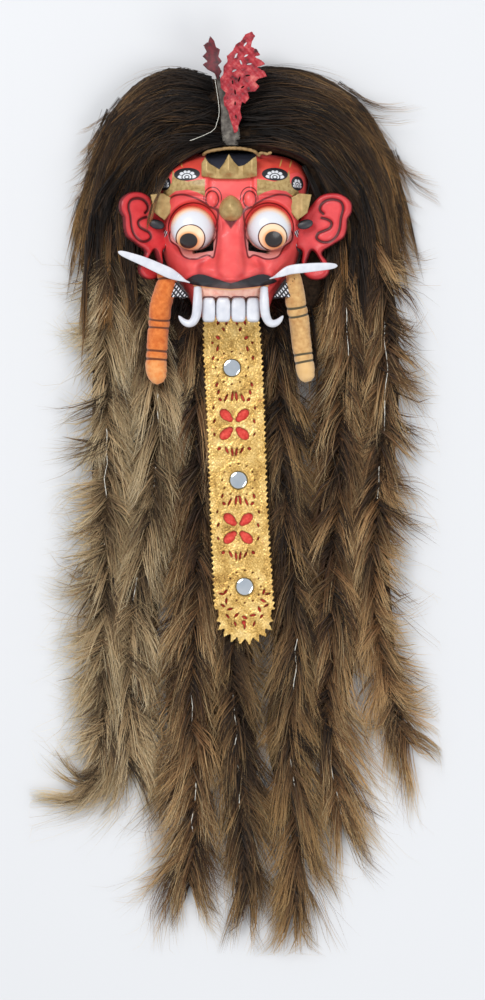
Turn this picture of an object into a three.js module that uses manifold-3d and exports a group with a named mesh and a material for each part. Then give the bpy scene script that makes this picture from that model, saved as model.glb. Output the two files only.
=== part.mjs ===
// A danced demon mask of carved wood, lying on its back: face, ears, tusks, gilded tongue,
// pendants, fur hood, leather crest and a mane of seven hair tresses.
// Millimetres. +X to the wearer's left as the face is seen from the front, +Y towards the crest,
// +Z out of the face. Shapes are set out from the face's centreline at eye level, with the
// mask's back rim on z = 0; the last lines move the origin to the middle of the underside.

import * as THREE from 'three';
import { mergeVertices } from 'three/addons/utils/BufferGeometryUtils.js';
import Module from 'manifold-3d';

const wasm = await Module();
wasm.setup();

// ---------------------------------------------------------------- driving dimensions
const GAP = 0.35; // between touching pieces
const WALL = 9; // thickness of the carved wood
const FACE_COLUMNS = 30;
const ROWS_PER_STATION = 3;
const SIDE_FLARE = 0.8; // section exponents: 1 and 1 would be an ellipse
const FRONT_FLATNESS = 0.7;

// Each station: half width at the back rim, its height, height and depth of the middle line.
const FACE_STATIONS = [
  [46, 98.4, 100.4, 0],
  [68, 94, 100.4, 28],
  [84, 86, 99, 46],
  [92, 78, 88, 66],
  [93, 66, 74, 80],
  [90, 45, 52, 86],
  [87, 20, 26, 86],
  [86, 0, 2, 84],
  [82, -20, -22, 84],
  [76, -38, -42, 86],
  [68, -52, -58, 88],
  [62, -68, -66, 90],
  [57, -82, -80, 88],
  [52, -97, -97, 84],
  [52, -98, -98, 0],
];

const EYE = { x: 45.5, y: 8, radius: 26.5, bulge: 21, z: 74, pit: 8, lid: 34 };
const NOSE = { top: 26, tip: -54, end: -66, rise: 38, slim: 11, wide: 19 };
const WING = { x: 27, y: -43, sx: 11, sy: 10, rise: 17 };
const BROW = { inner: 27, low: 51, rise: 5, edge: 5 };
const LIP = { middle: -62, lift: 8, half: 50, thick: 6, rise: 11 };
const SLIT = { inner: 20, low: -20, roof: 130 };
const BOSS = { y: 32, rx: 14.4, ry: 15.5, rz: 14, z: 88 };
const CURL = { x: 22.5, y: 41, rx: 6.5, ry: 9, rz: 5, z: 88 };
const CROWN = { xs: [-28, 0, 28], base: 66, tip: 93, half: 11.5, thick: 12, z: 80 };
const LEAF = { root: 70, low: 18, high: 49, reach: 96, z: 60, thick: 6 };
const TOOTH = { edges: [-35, -18, 0, 18, 35], top: -75, low: -104, back: 72, front: 90 };
const FANG = { x: 41, top: -66, low: -110, tip: 62, tipY: -97, z: 87, radius: 4.6 };

const EAR = { thick: 7, bevel: 1, root: 80, z: 36, rightTilt: 8, leftTilt: 35 };
const TUSK = { rootZ: 74, rise: 4, halfThick: 2.6 };
const PENDANT = { topZ: 60, lieZ: 47 };

const HAIR_TOP = 33; // thickness of the mane where it lies on the ground
const TONGUE = { root: -86, bottom: -487, thick: 2.2, lie: 36.6, felt: 2.4, top: 52 };
const MIRROR = { radius: 11, thick: 2, places: [[1.1, -158], [8.9, -293], [16.4, -421]] };
const CREST = { thick: 3, z: 78, tilt: -9 };

// ---------------------------------------------------------------- materials
const material = (color, roughness, metalness = 0) =>
  new THREE.MeshStandardMaterial({ color, roughness, metalness });
const PAINTED_WOOD = material(0xee5f5e, 0.42);
const EAR_PAINT = material(0xdf3d42, 0.45);
const TUSK_PAINT = material(0xeceef0, 0.4);
const GILT = material(0xc09a45, 0.42, 0.6);
const FELT = material(0xde4f46, 0.95);
const MIRROR_GLASS = material(0xd9e3ea, 0.05, 1);
const ORANGE_CLOTH = material(0xd67332, 0.9);
const TAN_CLOTH = material(0xcca268, 0.9);
const FUR = material(0x3a2c22, 0.8);
const CREST_PAINT = material(0xa9232e, 0.5);
const CREST_DARK = material(0x4f1a22, 0.5);
const LIGHT_HAIR = material(0x96805c, 0.8);
const DARK_HAIR = material(0x5c452d, 0.8);

// ---------------------------------------------------------------- helpers
const clamp01 = (t) => Math.min(1, Math.max(0, t));
const smooth = (low, high, value) => {
  const t = clamp01((value - low) / (high - low));
  return t * t * (3 - 2 * t);
};
const bump = (dx, dy, sx, sy) => Math.exp(-((dx / sx) ** 2) - (dy / sy) ** 2);

/** Smooth curve through rows of numbers, taken at t from 0 to rows.length - 1. */
function along(rows, t) {
  const at = (k) => rows[Math.min(rows.length - 1, Math.max(0, k))];
  const k = Math.min(rows.length - 2, Math.floor(t));
  const f = t - k;
  return rows[0].map((_, c) => {
    const [a, b, d, e] = [at(k - 1)[c], at(k)[c], at(k + 1)[c], at(k + 2)[c]];
    return b + 0.5 * f * (d - a + f * (2 * a - 5 * b + 4 * d - e + f * (3 * (b - d) + e - a)));
  });
}

/** Closed body through equal rings of points, its two ends closed by fans. */
function loft(rings, closedRound = false) {
  const n = rings[0].length;
  const points = rings.flat();
  const index = [];
  const last = closedRound ? rings.length : rings.length - 1;
  for (let r = 0; r < last; r += 1) {
    const next = (r + 1) % rings.length;
    for (let k = 0; k < n; k += 1) {
      const [a, b] = [r * n + k, r * n + ((k + 1) % n)];
      const [c, d] = [next * n + ((k + 1) % n), next * n + k];
      index.push(a, b, c, a, c, d);
    }
  }
  if (!closedRound) {
    for (const [ring, flip] of [[0, true], [rings.length - 1, false]]) {
      const middle = rings[ring].reduce((sum, p) => sum.add(p), new THREE.Vector3());
      points.push(middle.divideScalar(n));
      for (let k = 0; k < n; k += 1) {
        const edge = [ring * n + k, ring * n + ((k + 1) % n)];
        if (flip) edge.reverse();
        index.push(...edge, points.length - 1);
      }
    }
  }
  return outward(fromPoints(points, index));
}

function fromPoints(points, index) {
  const geometry = new THREE.BufferGeometry();
  const flat = points.flatMap((p) => [p.x, p.y, p.z]);
  geometry.setAttribute('position', new THREE.Float32BufferAttribute(flat, 3));
  geometry.setIndex(index);
  return geometry;
}

/** Turns every face round when the closed body has been wound inside out. */
function outward(geometry) {
  const at = geometry.attributes.position;
  const index = geometry.index.array;
  const [a, b, c] = [new THREE.Vector3(), new THREE.Vector3(), new THREE.Vector3()];
  let volume = 0;
  for (let k = 0; k < index.length; k += 3) {
    a.fromBufferAttribute(at, index[k]);
    b.fromBufferAttribute(at, index[k + 1]);
    c.fromBufferAttribute(at, index[k + 2]);
    volume += a.dot(b.cross(c));
  }
  if (volume < 0) geometry.setIndex(Array.from(index).reverse());
  return geometry;
}

/** Closed mesh to solid, with shared corners merged. */
function solid(geometry) {
  const bare = geometry.clone();
  for (const name of ['normal', 'uv']) bare.deleteAttribute(name);
  const merged = mergeVertices(bare, 1e-4);
  return new wasm.Manifold(new wasm.Mesh({
    numProp: 3,
    vertProperties: new Float32Array(merged.attributes.position.array),
    triVerts: new Uint32Array(merged.index.array),
  }));
}

function geometryOf(body) {
  const mesh = body.getMesh();
  const geometry = new THREE.BufferGeometry();
  const corners = new THREE.BufferAttribute(new Float32Array(mesh.vertProperties), mesh.numProp);
  geometry.setAttribute('position', corners);
  geometry.setIndex(Array.from(mesh.triVerts));
  return geometry;
}

const group = new THREE.Group();

function addPiece(name, geometry, finish) {
  const mesh = new THREE.Mesh(geometry, finish);
  mesh.name = name;
  group.add(mesh);
}

/** Flat plate of an outline, its underside at z = 0. */
function plate(shape, thick, bevel = 0, segments = 4) {
  const settings = {
    depth: thick - 2 * bevel,
    bevelEnabled: bevel > 0,
    bevelThickness: bevel,
    bevelSize: bevel,
    bevelOffset: -bevel,
    bevelSegments: 1,
    curveSegments: segments,
  };
  return new THREE.ExtrudeGeometry(shape, settings).translate(0, 0, bevel);
}

// ---------------------------------------------------------------- carved face
/** Relief over the plain curved face: nose, brows, eye pits, lids, cheeks and lip. */
function relief(x, y) {
  const side = Math.abs(x);
  const run = clamp01((NOSE.top - y) / (NOSE.top - NOSE.tip));
  const ridge = (3 + (NOSE.rise - 3) * run ** 1.6) * smooth(NOSE.end, NOSE.tip, y);
  const nose = ridge * smooth(NOSE.top + 18, NOSE.top, y);
  const width = NOSE.slim + (NOSE.wide - NOSE.slim) * run;
  const wings = WING.rise * bump(side - WING.x, y - WING.y, WING.sx, WING.sy);
  const fromEye = Math.hypot(side - EYE.x, y - EYE.y);
  const pit = EYE.pit * (1 - smooth(EYE.radius, EYE.lid, fromEye));
  const lid = 4 * bump(fromEye - EYE.lid - 4, 0, 6, 1) * smooth(-15, 15, y);
  const plateIn = smooth(BROW.inner - BROW.edge, BROW.inner, side);
  const plateUp = smooth(BROW.low - BROW.edge, BROW.low, y);
  const cheek = 5 * bump(side - 60, y + 26, 18, 14);
  const lipLine = LIP.middle + LIP.lift * clamp01(side / LIP.half) ** 1.3;
  const lip = LIP.rise * bump(0, y - lipLine, 1, LIP.thick) * smooth(LIP.half + 8, LIP.half - 6, side);
  return nose * Math.exp(-((side / width) ** 2.4)) + wings + lid + cheek
    + BROW.rise * plateIn * plateUp + lip - pit;
}

/** Point of the face: t runs over the stations, angle from the one rim over the front to the other. */
function facePoint(t, angle, inset, carved) {
  const [halfWidth, rimY, ridgeY, depth] = along(FACE_STATIONS, t);
  const [c, s] = [Math.cos(angle), Math.max(0, Math.sin(angle))];
  const x = (halfWidth - inset) * Math.sign(c) * Math.abs(c) ** SIDE_FLARE;
  const y = rimY + (ridgeY - rimY) * s;
  const plain = Math.max(0, depth - inset) * s ** FRONT_FLATNESS;
  const raised = carved ? relief(x, y) * smooth(0.25, 0.7, s) * clamp01(depth / 40) : 0;
  return new THREE.Vector3(x, y, plain + raised);
}

/** Block with the face's outer surface on top and a flat back. */
function faceBlock(grow = 0) {
  const rows = (FACE_STATIONS.length - 1) * ROWS_PER_STATION;
  const points = [];
  for (let r = 0; r <= rows; r += 1) {
    for (let c = 0; c <= FACE_COLUMNS; c += 1) {
      const angle = Math.PI * (1 - c / FACE_COLUMNS);
      points.push(facePoint(r / ROWS_PER_STATION, angle, -grow, true));
    }
  }
  const wide = FACE_COLUMNS + 1;
  const index = [];
  for (let r = 0; r < rows; r += 1) {
    for (let c = 0; c < FACE_COLUMNS; c += 1) {
      const a = r * wide + c;
      index.push(a, a + wide, a + wide + 1, a, a + wide + 1, a + 1);
    }
  }
  const rim = [];
  for (let c = 0; c < FACE_COLUMNS; c += 1) rim.push(c);
  for (let r = 0; r < rows; r += 1) rim.push(r * wide + FACE_COLUMNS);
  for (let c = FACE_COLUMNS; c > 0; c -= 1) rim.push(rows * wide + c);
  for (let r = rows; r > 0; r -= 1) rim.push(r * wide);
  points.push(new THREE.Vector3(0, 0, 0));
  for (let k = 0; k < rim.length; k += 1) {
    index.push(rim[k], rim[(k + 1) % rim.length], points.length - 1);
  }
  for (const k of rim) points[k].z = 0;
  return outward(fromPoints(points, index));
}

/** The hollow: the plain face drawn in by the wall, open at the back and under the teeth. */
function hollow() {
  const steps = 14;
  const columns = 14;
  const last = FACE_STATIONS.length - 2;
  const rings = [];
  for (let r = 0; r <= steps; r += 1) {
    const t = 0.9 + ((last - 0.9) * r) / steps;
    const ring = [];
    for (let c = 0; c <= columns; c += 1) {
      const p = facePoint(t, (Math.PI * c) / columns, WALL, false);
      p.y -= WALL * (1 - smooth(0.9, 3.5, t));
      if (r === steps) p.y -= 2 * WALL;
      ring.push(p);
    }
    const [left, right] = [ring[columns], ring[0]];
    ring.push(new THREE.Vector3(left.x, left.y, -WALL), new THREE.Vector3(right.x, right.y, -WALL));
    rings.push(ring);
  }
  return loft(rings);
}

/** Viewing slit: a crescent between the eyeball and its lower lid, right through the wood. */
function slit(side) {
  const shape = new THREE.Shape();
  const from = Math.acos((EYE.x - SLIT.inner) / (EYE.radius + 1));
  const to = Math.PI / 2 - 0.02;
  const steps = 6;
  for (let k = 0; k <= steps; k += 1) {
    const angle = from + ((to - from) * k) / steps;
    const x = EYE.x - (EYE.radius + 1) * Math.cos(angle);
    const y = EYE.y - (EYE.radius + 1) * Math.sin(angle);
    if (k === 0) shape.moveTo(x * side, y);
    else shape.lineTo(x * side, y);
  }
  shape.lineTo((SLIT.inner + 12) * side, SLIT.low - 3);
  shape.lineTo((SLIT.inner + 1) * side, SLIT.low);
  return new THREE.ExtrudeGeometry(shape, { depth: SLIT.roof, bevelEnabled: false });
}

/** Squashed ball on the face. */
function ball(x, y, z, rx, ry, rz, segments) {
  const shape = new THREE.SphereGeometry(1, segments, Math.round(segments * 0.6));
  return shape.rotateX(Math.PI / 2).scale(rx, ry, rz).translate(x, y, z);
}

/** Hollowed leaf spike of the crown, leaning on the roof of the mask. */
function crownSpike(x) {
  const across = [-1, -0.5, 0, 0.5, 1];
  const ring = (y, half, front, back) => [
    ...across.map((u) => new THREE.Vector3(x + u * half, y, front - 4 * u * u)),
    new THREE.Vector3(x + half, y, back),
    new THREE.Vector3(x - half, y, back),
  ];
  const middle = (CROWN.base + CROWN.tip) / 2;
  return loft([
    ring(CROWN.base, CROWN.half, CROWN.z + CROWN.thick, CROWN.z - 8),
    ring(middle, CROWN.half * 0.62, CROWN.z + CROWN.thick - 1, CROWN.z - 14),
    ring(CROWN.tip, 0.6, CROWN.z + CROWN.thick - 4, CROWN.z - 22),
  ]);
}

/** Gilded leaf that stands out beside the eye. */
function sideLeaf(side) {
  const shape = new THREE.Shape();
  shape.moveTo(LEAF.root * side, LEAF.low + 8);
  shape.lineTo(LEAF.root * side, LEAF.high - 12);
  shape.lineTo((LEAF.reach - 15) * side, LEAF.high + 1);
  shape.lineTo(LEAF.reach * side, LEAF.high - 1);
  shape.lineTo((LEAF.reach - 5) * side, LEAF.low + 9);
  shape.lineTo((LEAF.reach - 17) * side, LEAF.low);
  return plate(shape, LEAF.thick).translate(0, 0, LEAF.z);
}

/** Front tooth: a block with round lower corners. */
function tooth(left, right) {
  const [x0, x1] = [left + 0.4, right - 0.4];
  const round = 5;
  const shape = new THREE.Shape();
  shape.moveTo(x0, TOOTH.top);
  shape.lineTo(x0, TOOTH.low + round);
  shape.quadraticCurveTo(x0, TOOTH.low, x0 + round, TOOTH.low);
  shape.lineTo(x1 - round, TOOTH.low);
  shape.quadraticCurveTo(x1, TOOTH.low, x1, TOOTH.low + round);
  shape.lineTo(x1, TOOTH.top);
  return plate(shape, TOOTH.front - TOOTH.back, 2, 3).translate(0, 0, TOOTH.back);
}

/** Fang: round, from the gum down past the teeth and hooked out and up. */
function fang(side) {
  const path = new THREE.CatmullRomCurve3([
    new THREE.Vector3(FANG.x * side, FANG.top, FANG.z - 4),
    new THREE.Vector3(FANG.x * side, -84, FANG.z),
    new THREE.Vector3((FANG.x + 0.5) * side, -98, FANG.z),
    new THREE.Vector3((FANG.x + 6) * side, FANG.low + 1, FANG.z),
    new THREE.Vector3((FANG.x + 15) * side, FANG.low + 2, FANG.z - 1),
    new THREE.Vector3(FANG.tip * side, FANG.tipY, FANG.z - 2),
  ]);
  const steps = 9;
  const sides = 7;
  const rings = [];
  for (let k = 0; k <= steps; k += 1) {
    const at = path.getPoint(k / steps);
    const ahead = path.getTangent(k / steps);
    const across = new THREE.Vector3(-ahead.y, ahead.x, 0).normalize();
    const up = new THREE.Vector3(0, 0, 1);
    const radius = FANG.radius * Math.sqrt(1 - (0.93 * k) / steps);
    rings.push(Array.from({ length: sides }, (_, s) => {
      const angle = (2 * Math.PI * s) / sides;
      return at.clone().addScaledVector(across, radius * Math.cos(angle))
        .addScaledVector(up, radius * Math.sin(angle));
    }));
  }
  return loft(rings);
}

// ---------------------------------------------------------------- tusks
const TUSK_PATHS = {
  left: [[-47, -51, 6.2], [-62, -48, 6], [-98, -34, 5], [-134, -20.5, 2.6]],
  right: [[46, -51, 6.2], [58, -49, 6], [92, -43, 5], [126.5, -37, 2.6]],
};

/** Flat tapered tusk; each path point gives its place and half height. */
function tusk(path, grow = 0) {
  const steps = 6;
  const rings = [];
  const heading = new THREE.Vector2(path[3][0] - path[0][0], path[3][1] - path[0][1]).normalize();
  for (let k = 0; k <= steps; k += 1) {
    const [x, y, half] = along(path, (k * (path.length - 1)) / steps);
    const lift = TUSK.rootZ + (TUSK.rise * k) / steps;
    const tall = half + grow;
    const thick = TUSK.halfThick * (1 - (0.4 * k) / steps) + grow;
    const end = (k === 0 ? -grow : 0) + (k === steps ? grow : 0);
    rings.push([[1, 0.35], [1, -0.35], [0.55, -1], [-0.55, -1], [-1, -0.35], [-1, 0.35],
      [-0.55, 1], [0.55, 1]].map(([u, v]) => new THREE.Vector3(
      x + heading.x * end - heading.y * u * tall,
      y + heading.y * end + heading.x * u * tall,
      lift + v * thick,
    )));
  }
  return loft(rings);
}

// ---------------------------------------------------------------- mask
function buildMask() {
  const parts = [-1, 1].flatMap((side) => [
    ball(EYE.x * side, EYE.y, EYE.z, EYE.radius, EYE.radius, EYE.bulge, 16),
    ball(CURL.x * side, CURL.y, CURL.z, CURL.rx, CURL.ry, CURL.rz, 8),
    sideLeaf(side),
    fang(side),
  ]);
  parts.push(ball(0, BOSS.y, BOSS.z, BOSS.rx, BOSS.ry, BOSS.rz, 12));
  parts.push(...CROWN.xs.map(crownSpike));
  for (let k = 0; k < TOOTH.edges.length - 1; k += 1) {
    parts.push(tooth(TOOTH.edges[k], TOOTH.edges[k + 1]));
  }
  let body = solid(faceBlock());
  for (const part of parts) body = body.add(solid(part));
  const cuts = [hollow(), slit(-1), slit(1)];
  cuts.push(tusk(TUSK_PATHS.left, GAP), tusk(TUSK_PATHS.right, GAP));
  for (const cut of cuts) body = body.subtract(solid(cut));
  return geometryOf(body);
}

// ---------------------------------------------------------------- ears
const EAR_OUTLINE = [
  [78, 2], [84, 22], [97, 37], [107, 48], [120, 52], [134, 50], [145, 41], [146, 29], [141, 20],
  [140, 8], [136, -2], [122, -11], [110, -20], [117, -31], [119, -43], [111, -51], [98, -52],
  [88, -45], [85.5, -32], [86, -18], [78, -12],
];
const EAR_BOWL = [
  [109, 28], [114, 39], [125, 42], [134, 34], [131, 14], [125, 1], [114, -6], [105, -1], [109, 9],
];

function earShape() {
  const points = EAR_OUTLINE.map(([x, y]) => new THREE.Vector2(x - EAR.root, y));
  const shape = new THREE.Shape(new THREE.CatmullRomCurve3(
    points.map((p) => new THREE.Vector3(p.x, p.y, 0)), true, 'catmullrom', 0.5,
  ).getPoints(44).slice(0, -1).map((p) => new THREE.Vector2(p.x, p.y)));
  const hole = new THREE.Path();
  const place = (x, y) => [x - EAR.root, y];
  hole.moveTo(...place(98.4, -17));
  hole.quadraticCurveTo(...place(92, -24), ...place(92, -36));
  hole.lineTo(...place(109, -36));
  hole.quadraticCurveTo(...place(106, -25), ...place(98.4, -17));
  shape.holes.push(hole);
  return shape;
}

/** Sunk bowl of the ear. */
function earBowl() {
  const curve = new THREE.CatmullRomCurve3(
    EAR_BOWL.map(([x, y]) => new THREE.Vector3(x - EAR.root, y, 0)), true,
  );
  const outline = curve.getPoints(18).slice(0, -1).map((p) => new THREE.Vector2(p.x, p.y));
  return plate(new THREE.Shape(outline), EAR.thick).translate(0, 0, EAR.thick - 3);
}

function buildEar(side, tiltDegrees) {
  const block = solid(plate(earShape(), EAR.thick, EAR.bevel, 3));
  const carved = geometryOf(block.subtract(solid(earBowl())));
  const placed = carved.rotateY((-tiltDegrees * Math.PI) / 180)
    .translate(EAR.root, 0, EAR.z);
  if (side < 0) placed.scale(-1, 1, 1).setIndex(Array.from(placed.index.array).reverse());
  return geometryOf(solid(placed).subtract(solid(faceBlock(GAP))));
}

// ---------------------------------------------------------------- hood
// Outer edge of the fur, each with its height as fur: place X, place Y.
const HOOD_EDGE = [
  [206, 20], [204, 80], [164, 164], [106, 190], [36, 206], [-20, 200], [-66, 208], [-112, 192],
  [-152, 140], [-172, 72], [-186, 0], [-186, -52], [-140, -62], [-84, -104], [-40, -120],
  [0, -124], [44, -120], [88, -104], [140, -62], [204, -46],
];
const HOOD = {
  clear: 2.4, trim: 0.8, innerTop: 60, crown: 76, shoulder: 60, edge: 14, low: 22, lowOuter: 29,
};
const HOOD_STEPS = 60;

function hoodEdge() {
  const places = HOOD_EDGE.map(([x, y]) => new THREE.Vector3(x, y, 0));
  const edge = new THREE.CatmullRomCurve3(places, true, 'catmullrom', 0.5);
  return edge.getPoints(HOOD_STEPS).slice(0, -1);
}

/** Where a ray from the bridge of the nose through a point leaves a closed loop. */
function pierce(loop, toward) {
  const heading = toward.clone().normalize();
  let best = new THREE.Vector3();
  loop.forEach((a, k) => {
    const edge = loop[(k + 1) % loop.length].clone().sub(a);
    const cross = heading.x * edge.y - heading.y * edge.x;
    const reach = (a.x * edge.y - a.y * edge.x) / cross;
    const share = (a.x * heading.y - a.y * heading.x) / cross;
    if (reach > best.length() && share >= 0 && share <= 1) {
      best = heading.clone().multiplyScalar(reach);
    }
  });
  return best;
}

/** The mask's back rim as one loop, set off outwards by the clearance. */
function rimLoop() {
  const last = FACE_STATIONS.length - 2;
  const rim = [];
  for (let k = 0; k <= last; k += 1) rim.push(facePoint(k, 0, 0, false));
  rim.push(new THREE.Vector3(20, -98, 0), new THREE.Vector3(-20, -98, 0));
  for (let k = last; k >= 0; k -= 1) rim.push(facePoint(k, Math.PI, 0, false));
  for (const x of [-22, 0, 22]) rim.push(new THREE.Vector3(x, 100.4 - Math.abs(x) / 30, 0));
  return rim.map((p) => p.multiplyScalar(1 + HOOD.clear / p.length()));
}

/** Ring of fur and hide round the face: high over the forehead, low behind the ears. */
function buildHood() {
  const edge = hoodEdge();
  const rings = rimLoop().map((inner) => {
    const outer = pierce(edge, inner);
    const high = smooth(0.42, 0.8, inner.y / inner.length());
    const mix = (low, top) => low + (top - low) * high;
    const section = [
      [0, 0], [0, mix(HOOD.low, HOOD.innerTop)], [0.1, mix(HOOD.low + 1, HOOD.crown)],
      [0.55, mix(HOOD.lowOuter, HOOD.shoulder)], [0.9, mix(HOOD.lowOuter - 4, HOOD.edge + 20)],
      [1, HOOD.edge], [1, 0],
    ];
    return section.map(([u, z]) => inner.clone().lerp(outer, u).setZ(z));
  });
  return loft(rings, true);
}

/** Filled block as wide as the hood, which trims the tops of the tresses. */
function hoodBlock() {
  const edge = hoodEdge();
  const outline = rimLoop().map((inner) => {
    const out = pierce(edge, inner);
    out.multiplyScalar(1 + HOOD.trim / out.length());
    return new THREE.Vector2(out.x, out.y);
  });
  return plate(new THREE.Shape(outline), 3 * HAIR_TOP).translate(0, 0, -HAIR_TOP);
}

// ---------------------------------------------------------------- tresses
// Lines between the tresses, left to right: X at each of the heights below.
const LANE_HEIGHTS = [-40, -120, -220, -340, -460, -560, -640, -720, -800, -870];
const LANES = [
  [-186, -192, -200, -203, -201, -198, -205, -250, -250, -250],
  [-136, -134, -128, -128, -140, -158, -178, -200, -200, -200],
  [-84, -74, -62, -60, -72, -88, -100, -100, -84, -80],
  [-18, -12, -8, -8, -14, -14, -12, -10, -8, -6],
  [34, 38, 42, 42, 40, 38, 38, 40, 42, 44],
  [90, 92, 98, 98, 98, 94, 92, 98, 104, 106],
  [164, 162, 158, 152, 150, 148, 150, 160, 166, 166],
  [204, 214, 224, 230, 222, 216, 226, 250, 250, 250],
];
// Name, lowest Y, place of the tip across its lane, finish.
const TRESSES = [
  ['tress_far_left', -668, [-236, -654], LIGHT_HAIR],
  ['tress_left', -712, [-126, -708], LIGHT_HAIR],
  ['tress_inner_left', -845, [-37, -843], DARK_HAIR],
  ['tress_centre', -850, [16, -846], DARK_HAIR],
  ['tress_inner_right', -863, [70, -863], DARK_HAIR],
  ['tress_right', -764, [143, -763], DARK_HAIR],
  ['tress_far_right', -672, [243, -671], DARK_HAIR],
];

const laneX = (lane, y) => {
  const rows = LANE_HEIGHTS.map((height, k) => [height, lane[k]]);
  let k = 0;
  while (k < rows.length - 2 && rows[k + 1][0] > y) k += 1;
  const f = clamp01((rows[k][0] - y) / (rows[k][0] - rows[k + 1][0]));
  return along(rows.map((row) => [row[1]]), k + f)[0];
};

/** One tress: a flattened roll of hair between two lanes, drawn to a tip. */
function buildTress(laneIndex, lowest, tip, trim) {
  const steps = 15;
  const top = -30;
  const rings = [];
  for (let k = 0; k <= steps; k += 1) {
    const f = k / steps;
    const y = top + (lowest - top) * f;
    const closing = smooth(0.78, 1, f);
    const left = laneX(LANES[laneIndex], y) + 0.7;
    const right = laneX(LANES[laneIndex + 1], y) - 0.7;
    const middle = ((left + right) / 2) * (1 - closing) + tip[0] * closing;
    const half = ((right - left) / 2) * (1 - 0.86 * smooth(0.78, 1, f));
    const high = HAIR_TOP * (1 - 0.7 * smooth(0.5, 1, f));
    const section = [[-1, 0], [-0.97, 0.55], [-0.6, 0.93], [0, 1], [0.6, 0.93], [0.97, 0.55], [1, 0]];
    rings.push(section.map(([u, v]) => new THREE.Vector3(middle + u * half, y, v * high)));
  }
  return geometryOf(solid(loft(rings)).subtract(solid(trim)));
}

// ---------------------------------------------------------------- tongue
// Height along the tongue, left edge, right edge, height off the ground.
const TONGUE_STATIONS = [
  [TONGUE.root, -30, 30, TONGUE.top + 3],
  [-100, -32, 33, TONGUE.top],
  [-114, -33, 35, TONGUE.top - 6],
  [-128, -33, 36, TONGUE.lie + 4],
  [-142, -33, 37, TONGUE.lie],
  [-156, -32, 38, TONGUE.lie],
  [-240, -28, 41, TONGUE.lie],
  [-330, -25, 44, TONGUE.lie],
  [-420, -21, 50, TONGUE.lie],
  [-462, -20, 52, TONGUE.lie],
  [-478, -12, 46, TONGUE.lie],
  [TONGUE.bottom, -2, 30, TONGUE.lie],
];

/** Flat strip along the tongue's stations, drawn in by inset and lifted off the hair. */
function strip(inset, shorten, lift, thick) {
  const steps = 20;
  const rings = [];
  for (let k = 0; k <= steps; k += 1) {
    const [y, left, right, z] = along(TONGUE_STATIONS, (k * (TONGUE_STATIONS.length - 1)) / steps);
    const end = k === steps ? shorten : 0;
    rings.push([
      new THREE.Vector3(left + inset, y + end, z + lift),
      new THREE.Vector3(right - inset, y + end, z + lift),
      new THREE.Vector3(right - inset, y + end, z + lift + thick),
      new THREE.Vector3(left + inset, y + end, z + lift + thick),
    ]);
  }
  return loft(rings);
}

function buildMirror([x, y]) {
  const top = TONGUE.lie + TONGUE.felt + GAP + TONGUE.thick + GAP;
  const disc = new THREE.CylinderGeometry(MIRROR.radius, MIRROR.radius, MIRROR.thick, 20);
  return disc.rotateX(Math.PI / 2).translate(x, y, top + MIRROR.thick / 2);
}

// ---------------------------------------------------------------- pendants
// Height along the roll, middle, half width, height of its axis above the ground.
const PENDANT_LEFT = [
  [-47, -77, 11, PENDANT.topZ], [-62, -78, 12.8, PENDANT.topZ - 2], [-85, -84.5, 13.5, 52],
  [-118, -87.5, 12.8, PENDANT.lieZ], [-152, -90, 13.2, PENDANT.lieZ], [-170, -87, 11.5, PENDANT.lieZ],
  [-177, -84, 5, PENDANT.lieZ],
];
const PENDANT_RIGHT = [
  [-50, 75, 8, PENDANT.topZ], [-62, 76, 11, PENDANT.topZ - 2], [-80, 78, 12.5, 53],
  [-112, 83, 12, PENDANT.lieZ], [-150, 87, 11.6, PENDANT.lieZ], [-168, 91, 10.5, PENDANT.lieZ],
  [-175, 93, 5, PENDANT.lieZ],
];

function buildPendant(stations) {
  const steps = 12;
  const sides = 10;
  const rings = [];
  for (let k = 0; k <= steps; k += 1) {
    const [y, x, radius, z] = along(stations, (k * (stations.length - 1)) / steps);
    rings.push(Array.from({ length: sides }, (_, s) => {
      const angle = (2 * Math.PI * s) / sides;
      return new THREE.Vector3(x + radius * Math.cos(angle), y, z + radius * Math.sin(angle));
    }));
  }
  return loft(rings);
}

// ---------------------------------------------------------------- crest
const CREST_OUTLINE = [
  [6, 139], [-2, 152], [-9, 166], [-6, 178], [-13, 188], [-8, 202], [-4, 214], [4, 222], [10, 230],
  [17, 240], [26, 243], [29, 235], [24, 228], [29, 220], [36, 208], [30, 199], [38, 189], [27, 184],
  [29, 173], [16, 165], [14, 150],
];
const SIDE_LEAF_OUTLINE = [
  [-16, 192], [-22, 200], [-32, 206], [-29, 216], [-31, 228], [-24, 236], [-19, 226], [-13, 218],
  [-16, 206],
];

function buildLeaf(outline, bend, z) {
  const curve = new THREE.CatmullRomCurve3(
    outline.map(([x, y]) => new THREE.Vector3(x, y - outline[0][1], 0)), true, 'catmullrom', 0.5,
  );
  const points = curve.getPoints(outline.length * 2).slice(0, -1);
  const leaf = plate(new THREE.Shape(points.map((p) => new THREE.Vector2(p.x, p.y))), CREST.thick);
  return leaf.rotateX((bend * Math.PI) / 180).translate(0, outline[0][1], z);
}

// ---------------------------------------------------------------- assembly
addPiece('mask', buildMask(), PAINTED_WOOD);
addPiece('ear_left', buildEar(-1, EAR.leftTilt), EAR_PAINT);
addPiece('ear_right', buildEar(1, EAR.rightTilt), EAR_PAINT);
addPiece('tusk_left', tusk(TUSK_PATHS.left), TUSK_PAINT);
addPiece('tusk_right', tusk(TUSK_PATHS.right), TUSK_PAINT);
addPiece('tongue_lining', strip(5, 8, 0, TONGUE.felt), FELT);
addPiece('tongue', strip(0, 0, TONGUE.felt + GAP, TONGUE.thick), GILT);
['mirror_top', 'mirror_middle', 'mirror_bottom'].forEach((name, k) => {
  addPiece(name, buildMirror(MIRROR.places[k]), MIRROR_GLASS);
});
addPiece('pendant_left', buildPendant(PENDANT_LEFT), ORANGE_CLOTH);
addPiece('pendant_right', buildPendant(PENDANT_RIGHT), TAN_CLOTH);
addPiece('hood', buildHood(), FUR);
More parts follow.
